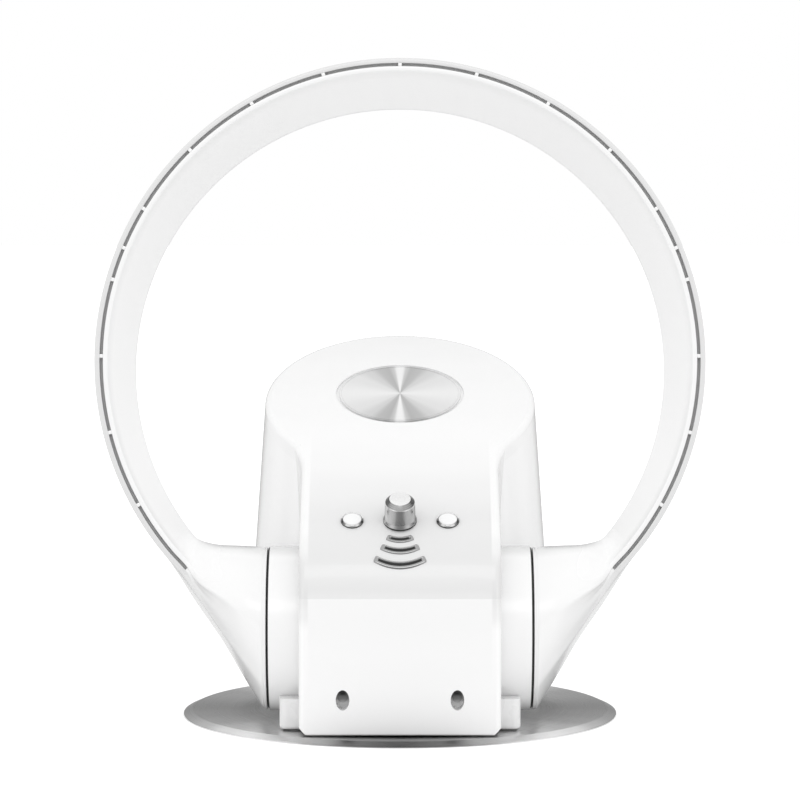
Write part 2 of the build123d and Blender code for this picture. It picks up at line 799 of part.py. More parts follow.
with BuildPart() as rear_housing:
    add(housing_outside.part)
    add(tapered_housing(housing_wall, 0), mode=Mode.SUBTRACT)
    with BuildSketch(Plane.XY.offset(chassis_top)):
        with Locations(*boss_places):
            Circle(housing_boss_radius)
    extrude(amount=housing_boss_height)
    add(grille_block(0), mode=Mode.SUBTRACT)
    add(tilt_cylinder(drum_radius, drum_half_length), mode=Mode.SUBTRACT)
    for plane in (Plane.YZ.offset(drum_half_length - seam_gap), Plane.YZ.offset(-drum_half_length + seam_gap)):
        with BuildSketch(plane):
            with Locations((-axis_forward, axis_height)):
                Circle(drum_radius + arm_clearance)
        extrude(amount=reach if plane.origin.X > 0 else -reach, mode=Mode.SUBTRACT)
    add(saddle_block(-seam_gap, 0, saddle_top), mode=Mode.SUBTRACT)
    with BuildSketch(Plane.XY.offset(chassis_top)):
        with Locations(*boss_places):
            Circle(chassis_screw_radius)
    extrude(amount=housing_boss_height - housing_wall, mode=Mode.SUBTRACT)
    with BuildSketch(Plane.XZ):
        with Locations((0, jack_height)):
            Circle(jack_radius)
    extrude(amount=-reach, mode=Mode.SUBTRACT)
write(rear_housing.part, "rear_housing")

grille_width = 2 * housing_base_radius * sin(radians(grille_half_angle))
slot_pitch = (grille_width - 2 * grille_frame) / grille_slots
grille_row_height = (grille_top - grille_bottom - 2 * grille_frame + grille_row_gap) / grille_rows

with BuildPart() as intake_grille:
    add(housing_outside.part)
    add(tapered_housing(housing_wall, 0), mode=Mode.SUBTRACT)
    add(grille_block(0), mode=Mode.INTERSECT)
    with BuildSketch(Plane.XZ.offset(-housing_centre(grille_bottom))):
        with Locations((0, (grille_bottom + grille_top) / 2)):
            with GridLocations(slot_pitch, grille_row_height, grille_slots, grille_rows):
                SlotOverall(grille_row_height - grille_row_gap, grille_slot_width, rotation=90)
    extrude(amount=-reach, mode=Mode.SUBTRACT)
write(intake_grille.part, "intake_grille")

# ================================================================ drum, saddle and chassis
with BuildPart() as drum_housing:
    add(tilt_cylinder(drum_radius, drum_half_length))
    add(tilt_cylinder(drum_radius - drum_wall, drum_half_length - drum_end_thickness), mode=Mode.SUBTRACT)
    add(tilt_cylinder(pivot_radius + running_gap + bush_wall, reach / 2), mode=Mode.SUBTRACT)
    with BuildSketch(Plane.XZ.offset(axis_forward)):
        with Locations((0, (duct_bottom + duct_top) / 2)):
            Rectangle(2 * (duct_half_width - scroll_wall), duct_top - duct_bottom - 2 * scroll_wall)
    extrude(amount=-drum_radius, mode=Mode.SUBTRACT)
write(drum_housing.part, "drum_housing")

with BuildPart() as saddle:
    add(saddle_block(0, skirt_bottom, saddle_top))
    fillet(saddle.edges().filter_by(Axis.Z).sort_by(Axis.Y)[:2], saddle_corner)
    fillet(saddle.faces().sort_by(Axis.Z)[0].edges().filter_by(Axis.Y), saddle_bottom_corner)
    with BuildSketch(Plane.XY.offset(skirt_bottom)):
        with Locations((0, -saddle_rear)):
            Rectangle(2 * (saddle_half_width - saddle_wall), saddle_front - saddle_rear - saddle_wall,
                      align=(Align.CENTER, Align.MAX))
    extrude(amount=saddle_top - skirt_bottom, mode=Mode.SUBTRACT)
    with BuildSketch(tilt_plane):
        Circle(drum_radius + saddle_wall)
    extrude(amount=saddle_half_width, both=True)
    with BuildSketch(Plane.XY.offset(skirt_bottom)):
        with Locations((0, -saddle_rear)):
            Rectangle(2 * saddle_half_width, saddle_front - saddle_rear, align=(Align.CENTER, Align.MAX))
    extrude(amount=saddle_top - skirt_bottom, mode=Mode.INTERSECT)
    # a roof over the hollow, beside the front cover
    with BuildSketch(Plane.XY.offset(saddle_shoulder_height - saddle_wall)):
        with Locations((0, -saddle_rear)):
            Rectangle(2 * saddle_half_width - saddle_wall, saddle_front - saddle_rear - saddle_wall / 2,
                      align=(Align.CENTER, Align.MAX))
            Rectangle(2 * (tongue_half_width - seam_gap), saddle_front, mode=Mode.SUBTRACT,
                      align=(Align.CENTER, Align.MAX))
    extrude(amount=saddle_wall)
    with BuildSketch(Plane.XY):
        Circle(gear_pitch_radius + 2 * gear_module)
    extrude(amount=chassis_bottom, mode=Mode.SUBTRACT)
    with BuildSketch(Plane.XZ.offset(saddle_front)):
        with Locations(*well_places):
            Circle(2 * cover_screw_radius + cover_wall / 2)
    extrude(amount=well_floor - cover_wall - saddle_front)
    add(tilt_cylinder(drum_radius, reach / 2), mode=Mode.SUBTRACT)
    with BuildSketch(Plane.XZ.offset(well_forward)):
        with Locations(*well_places):
            Circle(cover_screw_radius)
    extrude(amount=-well_depth - cover_screw_length, mode=Mode.SUBTRACT)
    with BuildSketch(Plane.XY.offset(saddle_shoulder_height)):
        for edge in (-saddle_half_width, saddle_half_width):
            with Locations((edge, 0)):
                Rectangle(2 * (saddle_half_width - tongue_half_width + seam_gap), reach)
    extrude(amount=reach, mode=Mode.SUBTRACT)
write(saddle.part, "saddle")

with BuildPart() as cover_screws:
    with BuildSketch(Plane.XZ.offset(well_floor)):
        with Locations(*well_places):
            Circle(cover_screw_head_radius)
    extrude(amount=cover_screw_radius)
    with BuildSketch(Plane.XZ.offset(well_floor)):
        with Locations(*well_places):
            Circle(cover_screw_radius)
    extrude(amount=-cover_screw_length)
write(cover_screws.part, "cover_screws")

power_board_centre = (0, power_board_back)

with BuildPart() as chassis:
    with BuildSketch(Plane.XY.offset(chassis_bottom)):
        with Locations((0, housing_centre(chassis_bottom))):
            Circle(housing_radius(chassis_top) - housing_wall - seam_gap)
        with Locations((0, -saddle_rear)):
            Rectangle(reach, reach, align=(Align.CENTER, Align.MAX), mode=Mode.SUBTRACT)
    extrude(amount=chassis_thickness)
    with BuildSketch(Plane.XY.offset(boss_bottom)):
        Circle(post_radius + chassis_boss_wall)
    extrude(amount=chassis_boss_height)
    with BuildSketch(Plane.XY.offset(chassis_top)):
        with Locations(power_board_centre):
            with GridLocations(power_board_length - 2 * housing_boss_radius,
                               power_board_width - 2 * housing_boss_radius, 2, 2):
                Circle(housing_boss_radius - chassis_screw_radius)
    extrude(amount=power_board_lift)
    with BuildSketch():
        Circle(post_radius + running_gap)
        with Locations((0, pinion_distance)):
            Circle(pinion_shaft_radius + moving_gap)
        with Locations(*boss_places):
            Circle(chassis_screw_radius + screw_gap)
    extrude(amount=reach, mode=Mode.SUBTRACT)
    for plane in (Plane.YZ.offset(drum_half_length - seam_gap), Plane.YZ.offset(-drum_half_length + seam_gap)):
        with BuildSketch(plane):
            with Locations((-axis_forward, axis_height)):
                Circle(drum_radius + arm_clearance)
        extrude(amount=reach if plane.origin.X > 0 else -reach, mode=Mode.SUBTRACT)
write(chassis.part, "chassis")

with BuildPart() as chassis_screws:
    with BuildSketch(Plane.XY.offset(chassis_bottom)):
        with Locations(*boss_places):
            Circle(chassis_screw_radius)
    extrude(amount=chassis_thickness + housing_boss_height - housing_wall)
    with BuildSketch(Plane.XY.offset(chassis_bottom)):
        with Locations(*boss_places):
            Circle(chassis_screw_head_radius)
    extrude(amount=-chassis_screw_head_height)
write(chassis_screws.part, "chassis_screws")

# ================================================================ electrics
with BuildPart() as power_board:
    with BuildSketch(Plane.XY.offset(chassis_top + power_board_lift)):
        with Locations(power_board_centre):
            Rectangle(power_board_length, power_board_width)
    extrude(amount=board_thickness)
    with BuildSketch(Plane.XY.offset(chassis_top + power_board_lift + board_thickness)):
        with Locations(power_board_centre):
            with GridLocations(power_board_length / 3, power_board_width / 2, 3, 2):
                Circle(housing_boss_radius)
    extrude(amount=power_board_lift)
write(power_board.part, "power_board")

with BuildPart() as dc_inlet:
    with BuildSketch(Plane.XZ.offset(-housing_rear)):
        with Locations((0, jack_height)):
            Circle(jack_radius)
    extrude(amount=jack_length)
    with BuildSketch(Plane.XZ.offset(-housing_rear + housing_wall + seam_gap)):
        with Locations((0, jack_height)):
            Circle(jack_flange_radius)
    extrude(amount=jack_flange_thickness)
    with BuildSketch(Plane.XZ.offset(-housing_rear)):
        with Locations((0, jack_height)):
            Circle(jack_bore)
    extrude(amount=jack_bore_depth, mode=Mode.SUBTRACT)
    with BuildSketch(Plane.XZ.offset(-housing_rear + jack_bore_depth)):
        with Locations((0, jack_height)):
            Circle(jack_bore / 3)
    extrude(amount=-jack_bore_depth + cover_wall)
write(dc_inlet.part, "dc_inlet")

# ================================================================ blower
scroll_floor = scroll_bottom + scroll_wall
bracket_bottom = scroll_floor + motor_mount_thickness
bracket_top = bracket_bottom + bracket_flange_height
hub_top = impeller_bottom + impeller_hub_height
scroll_drop = scroll_bottom - chassis_top


def scroll_solid(inset, duct_end):
    """The scroll's round chamber with its duct towards the drum, smaller all round by inset."""
    with BuildPart() as scroll:
        with BuildSketch(Plane.XY.offset(scroll_bottom + inset)):
            with Locations((0, blower_back)):
                Circle(scroll_radius - inset)
        extrude(amount=scroll_top - scroll_bottom - 2 * inset)
        with BuildSketch(Plane.XZ.offset(-blower_back + impeller_eye_radius)):
            with Locations((0, (duct_bottom + duct_top) / 2)):
                Rectangle(2 * (duct_half_width - inset), duct_top - duct_bottom - 2 * inset)
        extrude(amount=blower_back - impeller_eye_radius + duct_end)
        add(tilt_cylinder(drum_radius, drum_half_length), mode=Mode.SUBTRACT)
    return scroll.part


with BuildPart() as scroll_base:
    add(scroll_solid(0, axis_forward))
    add(scroll_solid(scroll_wall, axis_forward), mode=Mode.SUBTRACT)
    split(bisect_by=Plane.XY.offset(scroll_split), keep=Keep.BOTTOM)
    with BuildSketch(Plane.XY.offset(chassis_top)):
        with Locations(*[(scroll_leg_circle * cos(radians(angle)),
                          blower_back + scroll_leg_circle * sin(radians(angle)))
                         for angle in scroll_leg_angles]):
            Circle(scroll_leg_radius)
    extrude(amount=scroll_drop)
write(scroll_base.part, "scroll_base")

with BuildPart() as scroll_cover:
    add(scroll_solid(0, axis_forward))
    add(scroll_solid(scroll_wall, axis_forward), mode=Mode.SUBTRACT)
    split(bisect_by=Plane.XY.offset(scroll_split), keep=Keep.TOP)
    with BuildSketch(Plane.XY.offset(scroll_split)):
        with Locations((0, blower_back)):
            Circle(scroll_inlet_radius)
    extrude(amount=reach, mode=Mode.SUBTRACT)
write(scroll_cover.part, "scroll_cover")

with BuildPart() as motor_mount:
    with BuildSketch(Plane.XY.offset(scroll_floor)):
        with Locations((0, blower_back)):
            Circle(bracket_flange_radius)
            Circle(bracket_flange_radius - motor_mount_width, mode=Mode.SUBTRACT)
    extrude(amount=motor_mount_thickness)
write(motor_mount.part, "motor_mount")

with BuildPart() as motor_bracket:
    with BuildSketch(Plane.XY.offset(bracket_bottom)):
        with Locations((0, blower_back)):
            Circle(bracket_flange_radius)
    extrude(amount=bracket_flange_height)
    with BuildSketch(Plane.XY.offset(bracket_top)):
        with Locations((0, blower_back)):
            Circle(bracket_tube_radius)
    extrude(amount=hub_top - impeller_hub_wall - moving_gap - bracket_top)
    with BuildSketch(Plane.XY.offset(bracket_bottom)):
        with Locations((0, blower_back)):
            Circle(bearing_radius)
    extrude(amount=hub_top - bracket_bottom, mode=Mode.SUBTRACT)
write(motor_bracket.part, "motor_bracket")

bearing_levels = (bracket_top, hub_top - impeller_hub_wall - moving_gap - bearing_height)

with BuildPart() as motor_bearings:
    for level in bearing_levels:
        with BuildSketch(Plane.XY.offset(level)):
            with Locations((0, blower_back)):
                Circle(bearing_radius)
                Circle(motor_shaft_radius + running_gap, mode=Mode.SUBTRACT)
        extrude(amount=bearing_height)
write(motor_bearings.part, "motor_bearings")

with BuildPart() as motor_stator:
    with BuildSketch(Plane.XY.offset(impeller_bottom + (impeller_hub_height - stator_height) / 2)):
        with Locations((0, blower_back)):
            Circle(stator_radius)
            Circle(bracket_tube_radius, mode=Mode.SUBTRACT)
            with PolarLocations((stator_radius + bracket_tube_radius) / 2 + rotor_wall, winding_slots):
                Circle(rotor_wall / 2, mode=Mode.SUBTRACT)
    extrude(amount=stator_height)
write(motor_stator.part, "motor_stator")

with BuildPart() as motor_shaft:
    with BuildSketch(Plane.XY.offset(bracket_top)):
        with Locations((0, blower_back)):
            Circle(motor_shaft_radius)
    extrude(amount=hub_top - bracket_top)
write(motor_shaft.part, "motor_shaft")

with BuildPart() as motor_rotor:
    with BuildSketch(Plane.XY.offset(hub_top - impeller_hub_wall - rotor_height)):
        with Locations((0, blower_back)):
            Circle(impeller_hub_radius - impeller_hub_wall)
            Circle(impeller_hub_radius - impeller_hub_wall - rotor_wall, mode=Mode.SUBTRACT)
    extrude(amount=rotor_height)
write(motor_rotor.part, "motor_rotor")

blade_length = (impeller_radius - impeller_eye_radius) / cos(radians(blade_sweep))

with BuildPart() as impeller:
    with BuildSketch(Plane.XY.offset(impeller_bottom)):
        with Locations((0, blower_back)):
            Circle(impeller_radius)
    extrude(amount=impeller_plate)
    with BuildSketch(Plane.XY.offset(impeller_bottom)):
        with Locations((0, blower_back)):
            Circle(impeller_hub_radius)
    extrude(amount=impeller_hub_height)
    with BuildSketch(Plane.XY.offset(impeller_bottom)):
        with Locations((0, blower_back)):
            Circle(impeller_hub_radius - impeller_hub_wall)
    extrude(amount=impeller_hub_height - impeller_hub_wall, mode=Mode.SUBTRACT)
    with BuildSketch(Plane.XY.offset(impeller_bottom)):
        with Locations((0, blower_back)):
            with PolarLocations((impeller_radius + impeller_eye_radius) / 2, blade_count):
                Rectangle(blade_length, blade_thickness, rotation=blade_sweep)
    extrude(amount=impeller_top - impeller_bottom)
    with BuildSketch(Plane.XY.offset(impeller_top - impeller_plate)):
        with Locations((0, blower_back)):
            Circle(impeller_radius + blade_thickness)
            Circle(impeller_eye_radius + blade_thickness, mode=Mode.SUBTRACT)
    extrude(amount=impeller_plate)
    with BuildSketch(Plane.XY.offset(impeller_bottom)):
        with Locations((0, blower_back)):
            Circle(motor_shaft_radius)
    extrude(amount=impeller_hub_height, mode=Mode.SUBTRACT)
write(impeller.part, "impeller")

# ================================================================ tilting hoop
hoop_up = Vector(0, sin(radians(hoop_lean)), cos(radians(hoop_lean)))
hoop_front = Vector(0, -cos(radians(hoop_lean)), sin(radians(hoop_lean)))
hoop_centre = axis_point + hoop_up * hoop_rise
hoop_axis = Axis(hoop_centre, hoop_front)
hoop_front_inner_radius = hoop_outer_radius - hoop_front_width
hoop_rear_inner_radius = hoop_front_inner_radius - hoop_taper
hoop_rear_parting_radius = hoop_outer_radius - parting_inset
hoop_shoulder_radius = hoop_outer_radius - shoulder_inset
slot_outer = hoop_outer_radius - slot_inset + slot_width / 2
slot_inner = hoop_outer_radius - slot_inset - slot_width / 2
hoop_arc = 180 - 2 * hoop_end_angle


def hoop_section(angle):
    """Plane through the hoop's axis at an angle: X is outwards, Y is forwards."""
    outwards = Vector(1, 0, 0) * cos(radians(angle)) + hoop_up * sin(radians(angle))
    return Plane(origin=hoop_centre, x_dir=outwards, z_dir=outwards.cross(hoop_front))


with BuildPart() as hoop_outer_shell:
    with BuildSketch(hoop_section(hoop_end_angle)):
        with BuildLine():
            Line((slot_outer, hoop_half_depth), (hoop_outer_radius, hoop_half_depth))
            Spline((hoop_outer_radius, hoop_half_depth),
                   (hoop_shoulder_radius, -hoop_shoulder_depth),
                   (hoop_rear_parting_radius, -hoop_half_depth),
                   tangents=((0, -1), (-1, -0.2)))
            Line((hoop_rear_parting_radius, -hoop_half_depth),
                 (hoop_rear_parting_radius, hoop_wall - hoop_half_depth))
            Spline((hoop_rear_parting_radius, hoop_wall - hoop_half_depth),
                   (hoop_shoulder_radius - hoop_wall, hoop_wall / 2 - hoop_shoulder_depth),
                   (slot_outer, hoop_half_depth - slot_depth),
                   tangents=((1, 0.2), (0, 1)))
            Line((slot_outer, hoop_half_depth - slot_depth), (slot_outer, hoop_half_depth))
        make_face()
    revolve(axis=hoop_axis, revolution_arc=hoop_arc)
write(hoop_outer_shell.part, "hoop_outer_shell")

funnel_slope = (hoop_front_inner_radius - hoop_rear_inner_radius) / (2 * hoop_half_depth)
funnel_back = hoop_rear_inner_radius + funnel_slope * hoop_wall
all_rib_angles = [angle for angle in rib_angles + lower_rib_angles]
all_rib_angles += [180 - angle for angle in all_rib_angles if angle != 90]

with BuildPart() as hoop_inner_shell:
    with BuildSketch(hoop_section(hoop_end_angle)):
        with BuildLine():
            Polyline((slot_inner, hoop_half_depth), (hoop_front_inner_radius, hoop_half_depth),
                     (funnel_back, hoop_wall - hoop_half_depth),
                     (hoop_rear_inner_radius + hoop_wall, -hoop_half_depth),
                     (hoop_rear_parting_radius, -hoop_half_depth),
                     (hoop_rear_parting_radius, hoop_wall - hoop_half_depth),
                     (funnel_back + hoop_wall, hoop_wall - hoop_half_depth),
                     (hoop_front_inner_radius + hoop_wall - funnel_slope * slot_depth,
                      hoop_half_depth - slot_depth),
                     (slot_inner, hoop_half_depth - slot_depth / 2), close=True)
        make_face()
    revolve(axis=hoop_axis, revolution_arc=hoop_arc)
    for angle in all_rib_angles:
        with BuildSketch(hoop_section(angle)):
            with Locations((slot_outer - running_gap, hoop_half_depth)):
                Rectangle(slot_width + hoop_wall / 2, slot_depth, align=(Align.MAX, Align.MAX))
        extrude(amount=rib_width / 2, both=True)
write(hoop_inner_shell.part, "hoop_inner_shell")

arm_face = drum_half_length + seat_gap + seal_thickness
hoop_end_middle = (hoop_outer_radius + hoop_rear_inner_radius) / 2


def hoop_end_point(radius):
    """Point of the hoop's end, across and up from the tilt axis in the hoop's plane."""
    return (radius * cos(radians(hoop_end_angle)), hoop_rise + radius * sin(radians(hoop_end_angle)))


end_low = hoop_end_point(hoop_end_middle + hoop_end_half)
end_high = hoop_end_point(hoop_end_middle - hoop_end_half)


def arm_section(low_across, low_up, high_across, high_up, depth_share, shear_share):
    """Low point, high point, half depth and lean of a section at these shares of the arm."""
    low = (arm_face + low_across * (end_low[0] - arm_face),
           -drum_radius + low_up * (end_low[1] + drum_radius))
    high = (arm_face + high_across * (end_high[0] - arm_face),
            drum_radius + high_up * (end_high[1] - drum_radius))
    half_depth = drum_radius + depth_share * (hoop_half_depth - drum_radius)
    return low, high, half_depth, shear_share * hoop_end_shear


arm_shares = ((0, 0, 0, 0, 0, 0), *arm_middle_shares, (1, 1, 1, 1, 1, 1))
arm_sections = [arm_section(*shares) for shares in arm_shares]


def arm_solid(hand, inset):
    """Smooth solid through the arm's sections, smaller all round by inset; hand is +1 or -1."""
    with BuildPart() as arm:
        for low, high, half_depth, shear in arm_sections:
            start = axis_point + Vector(hand * low[0], 0, 0) + hoop_up * low[1]
            end = axis_point + Vector(hand * high[0], 0, 0) + hoop_up * high[1]
            across = (end - start).normalized()
            half = (end - start).length / 2 - inset
            plane = Plane(origin=(start + end) * 0.5, x_dir=across, z_dir=across.cross(hoop_front))
            with BuildSketch(plane):
                with BuildLine():
                    points = []
                    for index in range(arm_section_points):
                        turn = 2 * pi * index / arm_section_points
                        forward = (half_depth - inset) * sin(turn)
                        points.append((half * cos(turn) - shear * forward, forward))
                    Spline(*points, periodic=True)
                make_face()
        loft()
    return arm.part


for hand, side_name in ((-1, "left"), (1, "right")):
    with BuildPart() as hollow:
        add(arm_solid(hand, arm_wall))
        split(bisect_by=Plane.YZ.offset(hand * (arm_face + hub_wall)),
              keep=Keep.TOP if hand > 0 else Keep.BOTTOM)
    with BuildPart() as arm:
        add(arm_solid(hand, 0))
        add(hollow.part, mode=Mode.SUBTRACT)
        add(tilt_cylinder(pivot_radius, arm_face + hub_wall), mode=Mode.SUBTRACT)
    write(arm.part, f"arm_{side_name}")

    bush_inner = hand * (drum_half_length - bush_length)
    with BuildPart() as pivot_bush:
        with BuildSketch(Plane.YZ.offset(bush_inner)):
            with Locations((-axis_forward, axis_height)):
                Circle(pivot_radius + running_gap + bush_wall)
                Circle(pivot_radius + running_gap, mode=Mode.SUBTRACT)
        extrude(amount=hand * bush_length)
    write(pivot_bush.part, f"pivot_bush_{side_name}")

    flange_face = bush_inner - hand * moving_gap
    with BuildPart() as pivot_tube:
        with BuildSketch(Plane.YZ.offset(flange_face)):
            with Locations((-axis_forward, axis_height)):
                Circle(pivot_radius)
        extrude(amount=hand * (arm_face + hub_wall - abs(flange_face)))
        with BuildSketch(Plane.YZ.offset(flange_face)):
            with Locations((-axis_forward, axis_height)):
                Circle(pivot_radius + pivot_flange)
        extrude(amount=-hand * pivot_flange_thickness)
        add(tilt_cylinder(pivot_radius - pivot_wall, reach / 2), mode=Mode.SUBTRACT)
    write(pivot_tube.part, f"pivot_tube_{side_name}")

    with BuildPart() as hub_seal:
        with BuildSketch(Plane.YZ.offset(hand * arm_face)):
            with Locations((-axis_forward, axis_height)):
                Circle(drum_radius - seal_inset)
                Circle(pivot_radius, mode=Mode.SUBTRACT)
        extrude(amount=-hand * seal_thickness)
    write(hub_seal.part, f"hub_seal_{side_name}")
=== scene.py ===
# %% [markdown]
# # A bladeless fan, dressed for the camera
# The fan is a wide air hoop on two hollow arms. It tilts on a drum in front of a tapered blower
# housing, over a round metal plate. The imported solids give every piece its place, so this
# lesson only adds what the eye sees: fine edges, finishes, and the light of a white studio.

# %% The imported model
import bmesh
import bpy
import json
from math import cos, degrees, pi, radians, sin, sqrt, tan
from mathutils import Matrix, Vector


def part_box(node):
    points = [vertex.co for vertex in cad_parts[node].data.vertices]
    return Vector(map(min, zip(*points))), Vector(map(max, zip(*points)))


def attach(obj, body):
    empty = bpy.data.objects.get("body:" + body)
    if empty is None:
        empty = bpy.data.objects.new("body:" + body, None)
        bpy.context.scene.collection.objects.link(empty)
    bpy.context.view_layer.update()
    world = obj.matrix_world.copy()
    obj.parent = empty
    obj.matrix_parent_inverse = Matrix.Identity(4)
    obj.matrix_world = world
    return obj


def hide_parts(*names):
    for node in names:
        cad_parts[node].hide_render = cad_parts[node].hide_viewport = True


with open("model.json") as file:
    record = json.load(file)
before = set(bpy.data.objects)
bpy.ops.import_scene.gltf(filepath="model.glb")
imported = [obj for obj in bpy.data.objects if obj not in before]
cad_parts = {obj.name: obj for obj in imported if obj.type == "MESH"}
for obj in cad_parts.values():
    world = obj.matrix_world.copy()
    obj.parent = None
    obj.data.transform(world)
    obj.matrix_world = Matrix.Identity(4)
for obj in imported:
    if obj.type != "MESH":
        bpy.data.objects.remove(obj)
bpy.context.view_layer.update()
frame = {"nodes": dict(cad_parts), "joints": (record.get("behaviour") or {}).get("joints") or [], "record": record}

mm = 0.001

# %% [markdown]
# ## Camera
# The photograph was taken with a long lens from a little above the controls. A long lens keeps
# the hoop round and the sides of the housing nearly parallel. The lens and the distance were
# fitted to the stand's ellipse and to the hoop, which lie at different depths.

# %% Camera
camera_back = 2.5754
camera_height = 0.4138
camera_fall = radians(4.515)
camera_lens = 174.1

camera = bpy.data.objects.new("camera", bpy.data.cameras.new("camera"))
bpy.context.scene.collection.objects.link(camera)
camera.location = (0, -camera_back, camera_height)
camera.rotation_euler = (radians(90) - camera_fall, 0, 0)
camera.data.lens = camera_lens
camera.data.sensor_width = 36
camera.data.clip_end = 50
bpy.context.scene.camera = camera
bpy.context.scene.view_settings.view_transform = "Standard"
print("camera", round(camera_back, 3), "m in front,", camera_lens, "mm lens")


# %% [markdown]
# ## Helpers for node trees
# Materials are small graphs of nodes. Written out in full, each sum would take three lines, so
# a few short calls stand for the nodes that come back most: a sum, a change of range, a mix.
# A plain value is set on the node's socket, and another node's output is linked to it.

# %% Node helpers
def add_node(tree, kind, inputs=None, **settings):
    """A new node in a tree, with its settings, its values and its links made at once."""
    made = tree.nodes.new(kind)
    for name, value in settings.items():
        setattr(made, name, value)
    for name, value in (inputs or {}).items():
        if isinstance(value, bpy.types.NodeSocket):
            tree.links.new(value, made.inputs[name])
        else:
            made.inputs[name].default_value = value
    return made


def calc(tree, operation, *values):
    """The result of one operation on numbers."""
    return add_node(tree, "ShaderNodeMath", dict(enumerate(values)), operation=operation).outputs[0]


def remap(tree, value, low, high, to_low=0.0, to_high=1.0, **settings):
    """A number carried from one range to another, and held within it."""
    return add_node(tree, "ShaderNodeMapRange", {"Value": value, "From Min": low, "From Max": high,
                                                 "To Min": to_low, "To Max": to_high}, **settings).outputs[0]


def mixed(tree, factor, first, second):
    """A number between two others."""
    return add_node(tree, "ShaderNodeMix", {"Factor": factor, "A": first, "B": second}).outputs[0]


def scaled(tree, colour, factor):
    """A colour times a factor."""
    return add_node(tree, "ShaderNodeVectorMath", {0: colour, "Scale": factor}, operation="SCALE").outputs[0]


def length(tree, vector):
    """How long a vector is."""
    return add_node(tree, "ShaderNodeVectorMath", {0: vector}, operation="LENGTH").outputs["Value"]


def apart(tree, vector):
    """A vector's X, Y and Z."""
    return add_node(tree, "ShaderNodeSeparateXYZ", {0: vector}).outputs


def object_place(tree):
    """The place on the piece, along the piece's own axes."""
    return add_node(tree, "ShaderNodeTexCoord").outputs["Object"]


def grey(value):
    """A neutral colour with full alpha."""
    return (value, value, value, 1)


# %% [markdown]
# ## World
# A white product on a white ground is drawn by its shadows alone. What turns away to the sides,
# or reflects the dim space behind the fan, has to be darker: that draws the edges of the white
# shells and gives the metal its contrast. A studio stands dark flags there. Here the world is
# dim at its four sides, but only to reflections, and it stays pure white to the camera.

# %% World
world_light = 1.04
flag_light = 0.42
flag_starts, flag_full = 0.82, 0.99


def flag_shade(tree, vector):
    """Brightness towards a direction: dim where a dark flag stands, at each of four sides."""
    towards = apart(tree, vector)
    across, along = calc(tree, "ABSOLUTE", towards["X"]), calc(tree, "ABSOLUTE", towards["Y"])
    nearest = calc(tree, "MAXIMUM", across, along)
    return remap(tree, nearest, flag_starts, flag_full, 1.0, flag_light, interpolation_type="SMOOTHSTEP")


world = bpy.data.worlds.new("studio")
bpy.context.scene.world = world
world.use_nodes = True
sky = world.node_tree
sky.nodes.clear()
flags = flag_shade(sky, add_node(sky, "ShaderNodeTexCoord").outputs["Generated"])
ray = add_node(sky, "ShaderNodeLightPath").outputs
seen = calc(sky, "MAXIMUM", ray["Is Camera Ray"], ray["Is Transmission Ray"])
strength = mixed(sky, seen, mixed(sky, ray["Is Glossy Ray"], world_light, flags), 1.0)
light = add_node(sky, "ShaderNodeBackground", {"Color": grey(1), "Strength": strength})
add_node(sky, "ShaderNodeOutputWorld", {"Surface": light.outputs[0]})
print("world light", world_light, "flags", flag_light)

# %% [markdown]
# ## Floor and lamp
# The fan stands on white paper. A paper that is only lit turns grey, and more light would burn
# out the white shells, so the paper glows a little, but only to the camera. It keeps the fan's
# soft shadow. One large lamp in front and above adds direction without a hard shadow.

# %% Floor
floor_half = 8.0
floor_tone = 0.88
floor_glow = 0.34
floor_mesh = bpy.data.meshes.new("floor")
corners = [(x * floor_half, y * floor_half, 0) for x, y in ((-1, -1), (1, -1), (1, 1), (-1, 1))]
floor_mesh.from_pydata(corners, [], [(0, 1, 2, 3)])
floor = bpy.data.objects.new("floor", floor_mesh)
bpy.context.scene.collection.objects.link(floor)

floor_white = bpy.data.materials.new("floor_white")
floor_white.use_nodes = True
tree = floor_white.node_tree
tree.nodes.clear()
ray = add_node(tree, "ShaderNodeLightPath").outputs
paper = add_node(tree, "ShaderNodeBsdfDiffuse", {"Color": grey(floor_tone)})
direct = calc(tree, "MULTIPLY", ray["Is Camera Ray"], floor_glow)
glow = add_node(tree, "ShaderNodeEmission", {"Color": grey(1), "Strength": direct})
both = add_node(tree, "ShaderNodeAddShader", {0: paper.outputs[0], 1: glow.outputs[0]})
away = add_node(tree, "ShaderNodeVectorMath", {0: object_place(tree)}, operation="NORMALIZE").outputs[0]
mirrored = add_node(tree, "ShaderNodeEmission", {"Color": grey(1), "Strength": flag_shade(tree, away)})
choice = add_node(tree, "ShaderNodeMixShader", {0: ray["Is Glossy Ray"], 1: both.outputs[0],
                                                2: mirrored.outputs[0]})
add_node(tree, "ShaderNodeOutputMaterial", {"Surface": choice.outputs[0]})
floor_mesh.materials.append(floor_white)
print("floor", 2 * floor_half, "m across")

# %% Lamp
lamp_place, lamp_target = Vector((0, -3.0, 2.4)), Vector((0, 0, 0.2))
lamp_data = bpy.data.lights.new("front_lamp", "AREA")
lamp_data.shape = "RECTANGLE"
lamp_data.size, lamp_data.size_y = 1.6, 1.0
lamp_data.energy = 6
lamp = bpy.data.objects.new("front_lamp", lamp_data)
lamp.location = lamp_place
lamp.rotation_euler = (lamp_target - lamp_place).to_track_quat("-Z", "Y").to_euler()
bpy.context.scene.collection.objects.link(lamp)
print("lamp", lamp_data.energy, "W")


# %% [markdown]
# ## Finishes: what the surfaces have in common
# Nothing on the fan is one flat tone. Moulded plastic has a faint flow mottle and the soft
# ripple that polishers call orange peel. Turned metal has fine rings left by the tool. Each of
# these is a node group with named inputs, so every material can use it at its own scale. A
# painted picture would need unwrapping; object coordinates need none, because every piece
# keeps its own axes.

